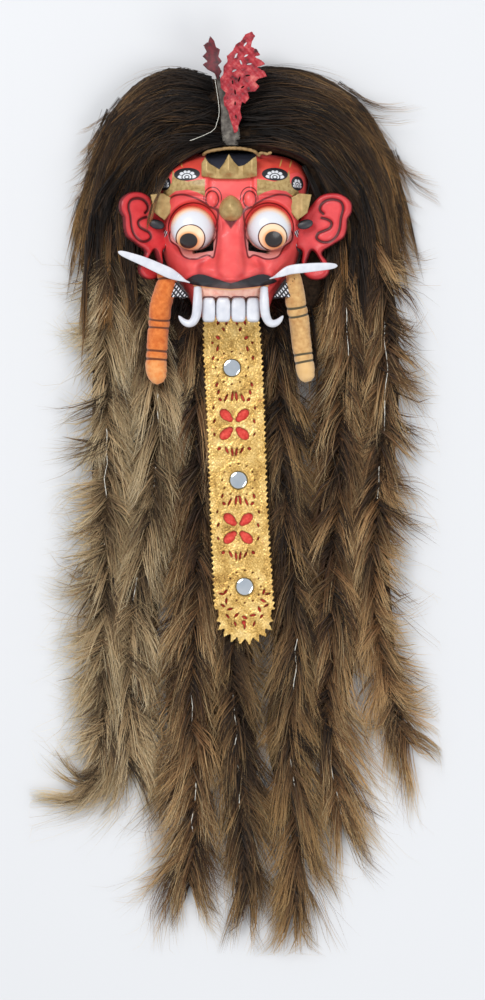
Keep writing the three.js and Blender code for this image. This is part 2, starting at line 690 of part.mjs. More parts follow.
addPiece('crest', buildLeaf(CREST_OUTLINE, CREST.tilt, CREST.z), CREST_PAINT);
addPiece('crest_side_leaf', buildLeaf(SIDE_LEAF_OUTLINE, -4, 62), CREST_DARK);
TRESSES.forEach(([name, lowest, tip, finish], lane) => {
  addPiece(name, buildTress(lane, lowest, tip, hoodBlock()), finish);
});

const model = new THREE.Group();
model.add(group);
const box = new THREE.Box3().setFromObject(group);
group.position.set(-(box.min.x + box.max.x) / 2, -(box.min.y + box.max.y) / 2, -box.min.z);
model.updateMatrixWorld(true);

export default model;
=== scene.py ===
"""A danced demon mask of carved and painted wood, lying on its back with its mane spread out.

Lengths below are millimetres in the mask's own frame: origin on the face's centreline at eye
level with the back rim on z = 0, +X to the right of the face as it is seen, +Y to the crest,
+Z out of the face. `to_frame` moves them to the part's frame in metres.

Carved face, for rows t down the face and columns u across it, -1 < u < 1:
    c = |u| ** 1.25,  s = sqrt(1 - c * c)
    x = half_width(t) * u
    y = rim(t) + (ridge(t) - rim(t)) * s
    z = depth(t) * s ** 0.7 + relief(x, y)
Relief is a sum of soft ridges for nose, nostrils, lids, lip and brows, less the eye pits.

Tresses: each lock leaves its string at an angle a from the string's run, which comes to turn * a
over the first seven tenths of the way, and past the middle it flicks out or in. So for v from 0
at the root to 1 at the tip
    heading(v) = a * (1 + (turn - 1) * min(v, 0.7) / 0.7) + flick * max(v - 0.55, 0)
    place(v) = root + step * sum of (cos heading, sin heading) up to v
and each strand of the lock stands off sideways by b + c * (1 - 0.82 * v), b and c its own.
"""

import bpy
import numpy as np
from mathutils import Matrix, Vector


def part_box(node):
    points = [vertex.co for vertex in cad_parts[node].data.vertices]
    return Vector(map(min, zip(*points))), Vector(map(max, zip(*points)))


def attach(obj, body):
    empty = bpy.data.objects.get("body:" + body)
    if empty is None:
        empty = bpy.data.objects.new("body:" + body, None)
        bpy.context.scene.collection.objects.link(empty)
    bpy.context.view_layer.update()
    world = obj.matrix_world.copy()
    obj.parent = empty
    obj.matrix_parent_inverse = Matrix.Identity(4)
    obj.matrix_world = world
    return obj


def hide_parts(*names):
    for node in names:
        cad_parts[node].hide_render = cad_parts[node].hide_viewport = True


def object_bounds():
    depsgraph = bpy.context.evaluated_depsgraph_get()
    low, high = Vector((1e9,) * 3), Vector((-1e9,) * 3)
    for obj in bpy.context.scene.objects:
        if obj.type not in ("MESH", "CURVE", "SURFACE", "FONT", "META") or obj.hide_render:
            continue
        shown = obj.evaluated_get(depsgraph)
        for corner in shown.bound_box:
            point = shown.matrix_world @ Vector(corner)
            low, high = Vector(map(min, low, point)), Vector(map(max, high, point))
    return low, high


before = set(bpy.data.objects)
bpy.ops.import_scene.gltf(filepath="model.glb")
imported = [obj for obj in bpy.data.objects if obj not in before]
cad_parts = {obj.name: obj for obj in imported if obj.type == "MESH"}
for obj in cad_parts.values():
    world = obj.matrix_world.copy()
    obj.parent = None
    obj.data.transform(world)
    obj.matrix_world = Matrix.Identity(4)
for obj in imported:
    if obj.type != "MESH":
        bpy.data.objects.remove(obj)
cad_low, cad_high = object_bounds()
mask_low, mask_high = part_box("mask")
MASK_TOP = 100.5  # the mask's highest Y in its own frame
SHIFT = np.array([(mask_low.x + mask_high.x) / 2, mask_high.y - MASK_TOP / 1000, 0.0])
TAU = 2 * np.pi


# ------------------------------------------------------------------ curves and numbers
def to_frame(points):
    return np.asarray(points, float) / 1000 + SHIFT


def smooth(low, high, value):
    t = np.clip((np.asarray(value, float) - low) / (high - low), 0, 1)
    return t * t * (3 - 2 * t)


def bump(dx, dy=0.0):
    return np.exp(-np.square(dx) - np.square(dy))


def unit(v):
    return v / np.maximum(np.linalg.norm(v, axis=-1, keepdims=True), 1e-9)


def along(rows, t):
    """Smooth curve through rows of numbers, at t from 0 to len(rows) - 1."""
    rows, t = np.asarray(rows, float), np.asarray(t, float)
    k = np.clip(np.floor(t).astype(int), 0, len(rows) - 2)
    f = (t - k)[..., None]

    def at(i):
        return rows[np.clip(i, 0, len(rows) - 1)]

    a, b, d, e = at(k - 1), at(k), at(k + 1), at(k + 2)
    return b + 0.5 * f * (d - a + f * (2 * a - 5 * b + 4 * d - e + f * (3 * (b - d) + e - a)))


def even(rows, count, closed=False):
    """Smooth curve through the rows, as count points at equal steps of its length."""
    rows = np.asarray(rows, float)
    if closed:
        around = np.concatenate([rows[-2:], rows, rows[:3]])
        fine = along(around, np.linspace(2, len(rows) + 2, 24 * len(rows)))
    else:
        fine = along(rows, np.linspace(0, len(rows) - 1, 24 * len(rows)))
    run = np.concatenate([[0], np.cumsum(np.linalg.norm(np.diff(fine[:, :2], axis=0), axis=1))])
    places = np.linspace(0, run[-1], count, endpoint=not closed)
    return np.stack([np.interp(places, run, column) for column in fine.T], axis=1)


def to_outline(points, loop, closed=True):
    """Distance from points to a line of straight pieces; inside a closed one it is negative."""
    points, loop = np.asarray(points, float), np.asarray(loop, float)
    best = np.full(len(points), 1e9)
    odd = np.zeros(len(points), bool)
    ends = np.roll(loop, -1, axis=0)
    for a, b in zip(loop if closed else loop[:-1], ends if closed else ends[:-1]):
        edge, off = b - a, points - a
        share = np.clip((off @ edge) / max(edge @ edge, 1e-9), 0, 1)
        best = np.minimum(best, np.linalg.norm(off - share[:, None] * edge, axis=1))
        if closed and a[1] != b[1]:
            over = (a[1] > points[:, 1]) != (b[1] > points[:, 1])
            cross = a[0] + (points[:, 1] - a[1]) / (b[1] - a[1]) * edge[0]
            odd ^= over & (points[:, 0] < cross)
    return np.where(odd, -best, best)


# ------------------------------------------------------------------ meshes
def make_piece(name, points, faces, paints, slot, which=None, values=None, uv=None, flat=False):
    """Mesh object from points in mm and one or more arrays of triangles or quads."""
    parts = [np.asarray(f, np.int32) for f in (faces if isinstance(faces, list) else [faces])]
    mesh = bpy.data.meshes.new(name)
    mesh.vertices.add(len(points))
    mesh.vertices.foreach_set("co", to_frame(points).astype(np.float32).ravel())
    corners = np.concatenate([f.ravel() for f in parts])
    sizes = np.concatenate([np.full(len(f), f.shape[1]) for f in parts])
    mesh.loops.add(len(corners))
    mesh.loops.foreach_set("vertex_index", corners)
    mesh.polygons.add(len(sizes))
    mesh.polygons.foreach_set("loop_start", np.concatenate([[0], np.cumsum(sizes)[:-1]]))
    if which is not None:
        mesh.polygons.foreach_set("material_index", np.asarray(which, np.int32))
    mesh.polygons.foreach_set("use_smooth", np.full(len(sizes), not flat))
    mesh.update(calc_edges=True)
    for key, numbers in (values or {}).items():
        layer = mesh.attributes.new(key, "FLOAT", "POINT")
        layer.data.foreach_set("value", np.asarray(numbers, np.float32))
    if uv is not None:
        layer = mesh.uv_layers.new(name="OFBake")
        layer.data.foreach_set("uv", np.asarray(uv, np.float32).ravel())
    for paint in paints:
        mesh.materials.append(paint)
    piece = bpy.data.objects.new(name, mesh)
    bpy.context.scene.collection.objects.link(piece)
    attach(piece, "root")
    return piece


def grid_faces(rows, columns, wrap=False):
    """Quads of a grid of points numbered row by row; wrap joins the last column to the first."""
    r, c = np.meshgrid(np.arange(rows - 1), np.arange(columns if wrap else columns - 1), indexing="ij")
    a, b = r * columns + c, r * columns + (c + 1) % columns
    return np.stack([a, a + columns, b + columns, b], axis=-1).reshape(-1, 4)


def loft(rings):
    """Closed skin over rings (count, sides, 3): quads between them and a fan on each end."""
    rings = np.asarray(rings, float)
    count, sides = rings.shape[:2]
    points = np.concatenate([rings.reshape(-1, 3), rings[0].mean(0)[None], rings[-1].mean(0)[None]])
    quads = grid_faces(count, sides, wrap=True)
    k = np.arange(sides)
    first = np.stack([(k + 1) % sides, np.full(sides, count * sides), k], axis=1)
    last = np.stack([k, np.full(sides, count * sides + 1), (k + 1) % sides], axis=1)
    last[:, [0, 2]] += (count - 1) * sides
    return outward(points, [quads, np.concatenate([first, last])])


def outward(points, faces):
    """Turns all faces round if the closed skin was wound inside out."""
    volume = 0.0
    for f in faces:
        for k in range(1, f.shape[1] - 1):
            a, b, c = points[f[:, 0]], points[f[:, k]], points[f[:, k + 1]]
            volume += np.einsum("ij,ij->", a, np.cross(b, c))
    return points, (faces if volume > 0 else [f[:, ::-1] for f in faces])


def joined(parts):
    """Several (points, faces) as one, with the number of each face's part."""
    points, faces, which, start = [], [], [], 0
    for number, (at, lists) in enumerate(parts):
        points.append(at)
        for f in lists:
            faces.append(f + start)
            which.append(np.full(len(f), number))
        start += len(at)
    return np.concatenate(points), faces, np.concatenate(which)


def tube(path, radius, sides=8, across=None):
    """Round skin along a path in space; radius is a number or one for each point."""
    path = np.asarray(path, float)
    ahead = unit(np.gradient(path, axis=0))
    side = unit(np.cross(ahead, across if across is not None else [0.0, 0.0, 1.0]))
    lift = np.cross(side, ahead)
    angle = np.linspace(0, TAU, sides, endpoint=False)
    radius = np.broadcast_to(radius, len(path))[:, None, None]
    ring = np.cos(angle)[:, None] * side[:, None] + np.sin(angle)[:, None] * lift[:, None]
    return loft(path[:, None] + radius * ring)


# ------------------------------------------------------------------ paints
def tint(red, green, blue):
    """Display colour from 0 to 255 as the linear colour that materials hold."""
    c = np.array([red, green, blue]) / 255
    linear = np.where(c <= 0.04045, c / 12.92, ((c + 0.055) / 1.055) ** 2.4)
    return (*linear.tolist(), 1.0)


class Paint:
    """A procedural material; each method adds a node and returns what comes out of it."""

    def __init__(self, name, roughness=0.5, metallic=0.0, specular=0.5, coat=0.0, sheen=0.0):
        self.material = bpy.data.materials.new(name)
        self.material.use_nodes = True
        self.nodes = self.material.node_tree.nodes
        self.links = self.material.node_tree.links
        self.shader = self.nodes["Principled BSDF"]
        self.shader.inputs["Roughness"].default_value = roughness
        self.shader.inputs["Metallic"].default_value = metallic
        self.shader.inputs["Specular IOR Level"].default_value = specular
        self.shader.inputs["Coat Weight"].default_value = coat
        self.shader.inputs["Sheen Weight"].default_value = sheen

    def put(self, socket, value):
        if isinstance(value, bpy.types.NodeSocket):
            self.links.new(value, socket)
        else:
            socket.default_value = value

    def place(self):
        return self.nodes.new("ShaderNodeTexCoord").outputs["Object"]

    def value(self, name):
        node = self.nodes.new("ShaderNodeAttribute")
        node.attribute_name = name
        return node.outputs["Fac"]

    def split(self, vector):
        node = self.nodes.new("ShaderNodeSeparateXYZ")
        self.put(node.inputs[0], vector)
        return node.outputs

    def join(self, x, y, z):
        node = self.nodes.new("ShaderNodeCombineXYZ")
        for socket, value in zip(node.inputs, (x, y, z)):
            self.put(socket, value)
        return node.outputs[0]

    def sum(self, kind, a, b=0.0, c=0.0):
        node = self.nodes.new("ShaderNodeMath")
        node.operation = kind
        for socket, value in zip(node.inputs, (a, b, c)):
            self.put(socket, value)
        return node.outputs[0]

    def noise(self, scale, detail=3.0, where=None, stretch=None):
        node = self.nodes.new("ShaderNodeTexNoise")
        where = where or self.place()
        if stretch:
            x, y, z = self.split(where)
            where = self.join(*[self.sum("MULTIPLY", v, s) for v, s in zip((x, y, z), stretch)])
        self.put(node.inputs["Vector"], where)
        node.inputs["Scale"].default_value = scale
        node.inputs["Detail"].default_value = detail
        return node.outputs["Fac"]

    def ramp(self, value, *stops):
        """Colours by value; each stop is (value, colour), in order."""
        node = self.nodes.new("ShaderNodeValToRGB")
        self.put(node.inputs[0], value)
        marks = node.color_ramp.elements
        while len(marks) < len(stops):
            marks.new(0.5)
        for mark, (where, colour) in zip(marks, stops):
            mark.position, mark.color = where, colour
        return node.outputs["Color"]

    def step(self, value, low, high, rise=1.0):
        """0 below low and 1 above high, or turned round when rise is 0."""
        node = self.nodes.new("ShaderNodeMapRange")
        node.interpolation_type = "SMOOTHSTEP"
        self.put(node.inputs["Value"], value)
        node.inputs["From Min"].default_value, node.inputs["From Max"].default_value = low, high
        node.inputs["To Min"].default_value, node.inputs["To Max"].default_value = 1 - rise, rise
        return node.outputs["Result"]

    def over(self, share, below, above):
        """Colour above laid on the colour below, by share."""
        node = self.nodes.new("ShaderNodeMix")
        node.data_type = "RGBA"
        self.put(node.inputs[0], share)
        self.put(node.inputs[6], below)
        self.put(node.inputs[7], above)
        return node.outputs[2]

    def colour(self, value):
        self.put(self.shader.inputs["Base Color"], value)
        return self

    def relief(self, height, depth, strength=1.0):
        """Fine surface relief, depth in mm."""
        node = self.nodes.new("ShaderNodeBump")
        node.inputs["Strength"].default_value = strength
        node.inputs["Distance"].default_value = depth / 1000
        self.put(node.inputs["Height"], height)
        self.put(self.shader.inputs["Normal"], node.outputs["Normal"])
        return self


# ------------------------------------------------------------------ hair
HAIR_TOP = 33.0
THIN = 0.3  # share of the root's thickness that a strand keeps near its tip


def strands(points, thick, tone, start=0.0):
    """Three-sided strands, drawn to points: points (count, steps, 3), thick and tone one each.

    The corners' UV holds the strand's tone across and its way from root to tip up."""
    count, steps = points.shape[:2]
    ahead = unit(np.gradient(points, axis=1))
    side = unit(np.cross(ahead, [0.0, 0.0, 1.0]))
    lift = np.cross(side, ahead)
    way = np.linspace(0, 1, steps)
    radius = thick[:, None] * (1 - (1 - THIN) * way[None, :-1])
    angle = np.array([0.25, 0.25 + 1 / 3, 0.25 + 2 / 3]) * TAU
    ring = (np.cos(angle)[:, None] * side[:, :-1, None] + np.sin(angle)[:, None] * lift[:, :-1, None])
    skin = points[:, :-1, None] + radius[:, :, None, None] * ring
    corners = np.concatenate([skin.reshape(count, -1, 3), points[:, -1:]], axis=1)
    tip = corners.shape[1] - 1
    one = [[2, 1, 0]]
    for k in range(steps - 2):
        for s in range(3):
            a, b = 3 * k + s, 3 * k + (s + 1) % 3
            one += [[a, b, b + 3], [a, b + 3, a + 3]]
    one += [[tip - 3 + s, tip - 3 + (s + 1) % 3, tip] for s in range(3)]
    one = np.array(one)
    faces = (np.arange(count)[:, None, None] * (tip + 1) + one).reshape(-1, 3)
    up = np.concatenate([np.repeat(way[:-1], 3), [1.0]])[one]
    across = np.concatenate([np.tile([0.0, 1.0, 2.0], steps - 1), [1.0]])[one]
    u = tone[:, None, None] * 0.97 + across[None] * 0.004 + 0.01
    v = np.broadcast_to(start + (1 - start) * up, u.shape) * 0.98 + 0.01
    return corners.reshape(-1, 3), faces, np.stack([u, v], axis=-1).reshape(-1, 2)


def bundle(parts):
    """Several lots of strands as one."""
    points, faces, uv, start = [], [], [], 0
    for at, f, t in parts:
        points.append(at)
        faces.append(f + start)
        uv.append(t)
        start += len(at)
    return np.concatenate(points), np.concatenate(faces), np.concatenate(uv)


def hair_paint(name, red, cool, warm):
    """Matte hair whose colour runs with the strand's tone and from its root to its tip."""
    paint = Paint(name, roughness=0.6, specular=0.3)
    node = paint.nodes.new("ShaderNodeUVMap")
    node.uv_map = "OFBake"
    u, v, _ = paint.split(node.outputs["UV"])
    # darker towards the root: partly the hair's own lighter tips, partly painted shade where the locks above
    # lie over the roots
    share = paint.sum("ADD", paint.sum("MULTIPLY_ADD", u, 0.52, -0.05), paint.sum("MULTIPLY", v, 0.6))
    beat = paint.sum("MULTIPLY_ADD", paint.sum("SINE", paint.sum("MULTIPLY", u, 34.0)), 0.5, 0.5)
    marks = (0.0, 0.28, 0.52, 0.76, 1.0)
    cool, warm = [paint.ramp(share, *zip(marks, colours)) for colours in (cool, warm)]
    return paint.colour(paint.over(paint.sum("MULTIPLY", beat, red), cool, warm)).material


FAIR_HAIR = hair_paint(
    "fair_hair", 0.5,
    [tint(34, 27, 20), tint(98, 80, 57), tint(188, 166, 126), tint(240, 224, 186), tint(255, 248, 226)],
    [tint(32, 22, 16), tint(94, 66, 42), tint(170, 128, 86), tint(224, 190, 142), tint(246, 228, 190)],
)
BROWN_HAIR = hair_paint(
    "brown_hair", 0.65,
    [tint(24, 19, 15), tint(74, 58, 41), tint(142, 116, 80), tint(224, 200, 154), tint(254, 242, 212)],
    [tint(22, 16, 12), tint(76, 46, 28), tint(142, 92, 52), tint(214, 164, 104), tint(244, 212, 158)],
)
DEEP_HAIR = hair_paint(
    "deep_hair", 0.65,
    [tint(20, 17, 15), tint(56, 44, 33), tint(106, 85, 60), tint(184, 158, 114), tint(232, 210, 166)],
    [tint(18, 14, 12), tint(58, 39, 26), tint(114, 77, 46), tint(186, 140, 86), tint(224, 186, 126)],
)
HOOD_HAIR = hair_paint(
    "hood_hair", 0.75,
    [tint(17, 15, 14), tint(36, 29, 25), tint(76, 59, 42), tint(160, 128, 84), tint(228, 202, 154)],
    [tint(16, 13, 11), tint(36, 26, 20), tint(86, 58, 36), tint(180, 128, 70), tint(230, 190, 124)],
)
# dark colour for the mass under the strands and the hide under the fur: painted shade
SHADED_UNDER_HAIR = Paint("shade_under_hair", roughness=0.9, specular=0.1)
SHADED_UNDER_HAIR.colour(SHADED_UNDER_HAIR.ramp(
    SHADED_UNDER_HAIR.noise(260, 4), (0.3, tint(30, 23, 18)), (0.7, tint(62, 48, 36)),
))
STRING = Paint("string", roughness=0.85)
STRING.colour(STRING.ramp(STRING.noise(400), (0.3, tint(196, 192, 178)), (0.7, tint(236, 234, 224))))


def bend(length, first, turn, flick, steps):
    """Flat run of a strand: offsets along and across from its root, headings given in radians."""
    way = (np.arange(steps - 1) + 0.5) / (steps - 1)
    heading = first[:, None] * (1 + (turn[:, None] - 1) * np.minimum(way, 0.7)[None] / 0.7)
    heading = heading + flick[:, None] * np.maximum(way - 0.55, 0)[None]
    pace = length[:, None] / (steps - 1)
    zero = np.zeros((len(length), 1))
    down = np.concatenate([zero, np.cumsum(pace * np.cos(heading), axis=1)], axis=1)
    out = np.concatenate([zero, np.cumsum(pace * np.sin(heading), axis=1)], axis=1)
    return down, out


# Each tress: its spine (X, Y, half width of the hair there); its paint, with the tone near its
# top and near its foot; the stretches where its string shows; how far its locks lean out, in
# radians, how long they are, and the share of the lean on each side; and, for the two at the ends
# of the row, which side is the mane's outer edge.
TRESSES = {
    "tress_far_left": dict(
        spine=[(-146, -14, 30), (-148, -70, 38), (-150, -168, 42), (-150, -317, 44), (-154, -485, 42),
               (-152, -580, 42), (-158, -636, 38), (-182, -668, 30), (-236, -656, 14)],
        paint=FAIR_HAIR, tone=(0.62, 0.78), string=[(0.3, 0.42), (0.47, 0.5)],
        lie=1.0, length=108, left=1.0, right=0.9, outer=-1),
    "tress_left": dict(
        spine=[(-112, -34, 24), (-104, -80, 30), (-90, -179, 40), (-93, -301, 42), (-106, -365, 46),
               (-117, -433, 46), (-126, -560, 44), (-122, -640, 36), (-126, -704, 12)],
        paint=FAIR_HAIR, tone=(0.6, 0.76), string=[(0.16, 0.3), (0.36, 0.4), (0.56, 0.62)],
        lie=0.95, length=112, left=1.0, right=0.95),
    "tress_inner_left": dict(
        spine=[(-50, -72, 24), (-42, -120, 30), (-38, -220, 36), (-40, -437, 44), (-48, -530, 46),
               (-46, -600, 46), (-44, -684, 46), (-50, -780, 38), (-46, -842, 12)],
        paint=BROWN_HAIR, tone=(0.44, 0.56), string=[(0.62, 0.68), (0.76, 0.84)],
        lie=0.9, length=108, left=1.15, right=0.85),
    "tress_centre": dict(
        spine=[(6, -100, 20), (8, -300, 30), (2, -509, 36), (11, -684, 40), (20, -790, 34), (16, -846, 10)],
        paint=DEEP_HAIR, tone=(0.52, 0.62), string=[(0.6, 0.86)], lie=0.75, length=96, left=0.9, right=1.0),
    "tress_inner_right": dict(
        spine=[(52, -74, 22), (58, -140, 26), (66, -300, 34), (76, -437, 38), (78, -520, 42), (72, -608, 44),
               (80, -725, 42), (76, -810, 34), (70, -860, 10)],
        paint=DEEP_HAIR, tone=(0.4, 0.95), string=[(0.52, 0.6), (0.7, 0.8)],
        lie=0.85, length=106, left=0.9, right=0.95),
    "tress_right": dict(
        spine=[(134, -20, 26), (138, -80, 34), (140, -155, 40), (133, -210, 44), (131, -293, 44),
               (125, -389, 44), (122, -500, 44), (116, -582, 42), (130, -680, 36), (144, -758, 12)],
        paint=BROWN_HAIR, tone=(0.5, 0.72), string=[(0.08, 0.2), (0.8, 0.92)],
        lie=0.9, length=110, left=1.0, right=0.9),
    "tress_far_right": dict(
        spine=[(172, -6, 28), (182, -60, 32), (187, -108, 36), (186, -204, 40), (180, -265, 42),
               (174, -337, 46), (172, -420, 48), (184, -510, 48), (204, -590, 40), (242, -668, 12)],
        paint=BROWN_HAIR, tone=(0.44, 0.9), string=[(0.14, 0.34), (0.4, 0.46)],
        lie=0.9, length=106, left=0.9, right=1.0, outer=1),
}
LOCKS, PER_LOCK, STEPS = 205, 18, 4
SHADE_FILLERS = 3  # wide strands in each lock, which fill it from below, painted dark as the shade under the lock
# Radii at the root, least and most.
STRAND, SHADE_FILLER, STRAY = (0.26, 0.46), (1.3, 2.2), (0.14, 0.24)
HOOD_STRAND, HOOD_SHADE_FILLER, WISP = (0.3, 0.48), (1.2, 1.9), (0.18, 0.32)
STRAYS = 170  # single hairs over each tress, and over each side of the hood


def beside(spine, share, down, out, side):
    """Points that run along a spine: down it from a share of its length, and out to one side."""
    run = np.linspace(0, 1, len(spine))
    whole = np.linalg.norm(np.diff(spine[:, :2], axis=0), axis=1).sum()
    ahead = unit(np.gradient(spine[:, :2], axis=0))
    at = share[:, None] + down / whole
    x, y, half, tx, ty = [np.interp(at, run, c) for c in (*spine.T, *ahead.T)]
    past = np.maximum(at - 1, 0) * whole
    out = side[:, None] * out
    flat = np.stack([x + tx * past - ty * out, y + ty * past + tx * out], axis=-1)
    off = np.clip(np.abs(out) / (half + 8), 0, 0.99)
    roof = 3 + (HAIR_TOP - 3) * np.sqrt(1 - off**2) * (1 - 0.62 * smooth(0.5, 1, at))
    return flat, roof


def comb_tress(name, form, seed):
    """Locks tied along the spine, left and right of it in turn, lying like tiles."""
    rng = np.random.default_rng(seed)
    spine = even(form["spine"], 240)
    whole = np.linalg.norm(np.diff(spine[:, :2], axis=0), axis=1).sum()
    reach = form["length"]
    last = 1 - 0.62 * reach / whole
    stem = np.sort(rng.uniform(0, last, LOCKS))
    side = np.where(rng.random(LOCKS) < 0.5, -1.0, 1.0)
    angle = form["lie"] * np.where(side < 0, form["left"], form["right"])
    angle = angle * rng.uniform(0.2, 1.3, LOCKS) * (1 - 0.6 * smooth(0.8, 1, stem))
    turn, flick = rng.normal(0.42, 0.26, LOCKS), rng.normal(0.6, 1.2, LOCKS)
    length = reach * rng.uniform(0.7, 1.25, LOCKS) * (1 - 0.3 * smooth(0.8, 1, stem))
    # along the mane's outer edge the locks are shorter and curl outwards
    free = (side == form.get("outer", 0)) * smooth(0.92, 0.8, stem)
    turn, length = turn + 0.6 * free, length * (1 - 0.36 * free)
    layer = rng.uniform(0.6, 1.0, LOCKS)
    tone = np.interp(stem, [0.1, 0.8], form["tone"]) + rng.normal(0, 0.36, LOCKS)
    many = LOCKS * PER_LOCK
    lock = np.repeat(np.arange(LOCKS), PER_LOCK)
    broad = np.arange(many) % PER_LOCK < SHADE_FILLERS
    share = np.clip(stem[lock] + rng.normal(0, 6.0, many) / whole, 0, last)
    first = angle[lock] * (1 + rng.normal(0, 0.12, many)) + rng.normal(0, 0.05, many)
    long = length[lock] * rng.uniform(0.7, 1.12, many) * np.where(broad, 0.72, 1.0)
    down, out = bend(long, first, turn[lock] + rng.normal(0, 0.12, many),
                     flick[lock] + rng.normal(0, 0.35, many), STEPS)
    way = np.linspace(0, 1, STEPS)[None]
    out = out + rng.normal(0, 1, (many, 1)) * 4 * (1 - 0.82 * way) + rng.normal(1.4, 1.4, (many, 1))
    flat, roof = beside(spine, share, down, out, side[lock])
    z = roof * (layer[lock][:, None] + 0.12 * np.sin(np.pi * way)) + rng.normal(0, 0.8, (many, 1))
    points = np.concatenate([flat, np.maximum(z, 1.0)[..., None]], axis=-1)
    shade = np.clip(tone[lock] + rng.normal(0, 0.2, many), 0.02, 0.98)
    thick = rng.uniform(*STRAND, many)
    # the filler strands are darker and lower than the rest: painted shade under the lock
    thick[broad] = rng.uniform(*SHADE_FILLER, broad.sum())
    shade[broad] = np.clip(shade[broad] - 0.34, 0.02, 0.98)
    points[broad, :, 2] = np.maximum(points[broad, :, 2] - 3, 2.2)
    body = strands(points, thick, shade)
    # single hairs that stand off the plume
    few = STRAYS
    side = np.where(rng.random(few) < 0.5, -1.0, 1.0)
    down, out = bend(reach * rng.uniform(0.8, 1.3, few), rng.uniform(0.3, 1.2, few),
                     rng.normal(0.6, 0.4, few), rng.normal(0.4, 1.4, few), 6)
    flat, roof = beside(spine, rng.uniform(0, last, few), down, out, side)
    loose = strands(np.concatenate([flat, np.maximum(roof, 1.4)[..., None]], axis=-1),
                    rng.uniform(*STRAY, few), rng.uniform(0.3, 0.9, few))
    points, faces, uv = bundle([body, loose])
    keep_in(points)
    slot = "fair_hair" if form["paint"] is FAIR_HAIR else "brown_hair"
    piece = make_piece(name.replace("tress", "hair"), points, faces, [form["paint"]], slot, uv=uv)
    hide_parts(name)
    # the mass of hair underneath, painted dark as the shade under the strands
    core, run = even(form["spine"], 60)[:54], np.linspace(0, 1, 60)[:54]
    ahead = unit(np.gradient(core[:, :2], axis=0))
    n = np.stack([-ahead[:, 1], ahead[:, 0]], axis=1)
    angle = np.linspace(0, TAU, 14, endpoint=False)
    half = core[:, 2] * (0.42 if "outer" in form else 0.66) * (1 - 0.97 * smooth(0.66, 0.9, run))
    tall = 8 * (1 - 0.75 * smooth(0.45, 0.9, run))
    across = core[:, None, :2] + (half[:, None] * np.cos(angle))[..., None] * n[:, None]
    height = tall[:, None] * (1.1 + np.sin(angle))
    at, under = loft(np.concatenate([across, height[..., None]], axis=-1))
    make_piece(name.replace("tress", "under"), at, under, [SHADED_UNDER_HAIR.material], slot)


def keep_in(points):
    """Draws the few hairs that would leave the part's box back to its edge."""
    low = (np.array(cad_low) - SHIFT) * 1000 - [4, 4, 0]
    high = (np.array(cad_high) - SHIFT) * 1000 + [4, 4, 8]
    for k in range(3):
        beyond = points[:, k] - high[k]
        points[:, k] = np.where(beyond > 0, high[k] + 3 * np.tanh(beyond / 12), points[:, k])
        short = low[k] + (0.6 if k == 2 else 0) - points[:, k]
        if k == 2:
            points[:, k] = np.maximum(points[:, k], 0.6)
        else:
            points[:, k] = np.where(short > 0, low[k] - 3 * np.tanh(short / 12), points[:, k])


for order, (name, form) in enumerate(TRESSES.items()):
    comb_tress(name, form, 11 + order)


# ------------------------------------------------------------------ carved face
WALL = 9.0
# Half width at the back rim, rim height, height of the middle line, its depth.
FACE_STATIONS = [
    (46, 98.4, 100.4, 0), (68, 94, 100.4, 28), (84, 86, 99, 46), (92, 78, 88, 66),
    (93, 66, 74, 80), (90, 45, 52, 86), (87, 20, 26, 86), (86, 0, 2, 84), (82, -20, -22, 84),
    (75, -38, -42, 86), (63, -52, -58, 88), (53, -68, -66, 90), (48, -82, -80, 88),
    (44, -97, -97, 84), (44, -98, -98, 0),
]
LAST_STATION = len(FACE_STATIONS) - 1
EYE_X, EYE_Y, EYE_Z, EYE_R, EYE_BULGE = 45.5, 8.0, 74.0, 26.5, 21.0
CURL_X = 22.3
ROWS, COLUMNS = 200, 164


def mirrored(rows):
    """Closed outline from its right half, first and last point on the middle line."""
    right = np.array(rows, float)
    return np.concatenate([right, (right * [-1, 1])[-2:0:-1]])


# Outlines of the painted and carved zones, for the right half of the face.
FOLD = [(16, 27), (24, 32), (34, 38.5), (44, 43.5), (58, 47.5), (72, 44.5), (80, 30), (82, 12),
        (74, -4), (60, -22), (40, -20), (22, 0), (16, 16)]
POCKET = [(20, 10), (20, -26), (27, -25), (33, -26.5), (41, -29.5), (51, -29), (58, -24.5),
          (64, -13), (73, -5.5), (72.5, 5.5), (60, 10)]
MOUSTACHE = [(0, -60.5), (8, -58.5), (16, -55), (25, -51.2), (33, -48.4), (39, -47.6), (45, -49),
             (50, -51.6), (56, -54.8), (51, -57.6), (46, -59.6), (38, -61.4), (26, -63.4), (12, -65.2),
             (0, -66)]
GUM = [(0, -66.6), (12, -66), (26, -64.4), (38, -62.4), (44, -60), (44.5, -74), (44, -97), (0, -97)]
VEE = [(0, 6), (2.5, 10), (12, 22), (19, 31), (15, 30), (7, 21), (0, 17)]
BROW_GOLD = [(31, 66), (31, 45), (40, 49.5), (51, 53), (66, 52), (79, 43.5), (84, 44), (80, 56),
             (71, 62), (69.6, 79.5), (66, 68), (60, 65.5), (52, 63)]
BROW_BAND = [(31, 66), (38, 67), (52, 63.4), (64, 66), (70, 73), (80, 76), (94, 68), (93, 80),
             (84, 90), (62, 95), (31, 92)]
NOSE_EDGE = [(0, 14), (9, 12), (12, 0), (14, -20), (16.5, -40), (15, -48), (8, -55), (0, -60)]


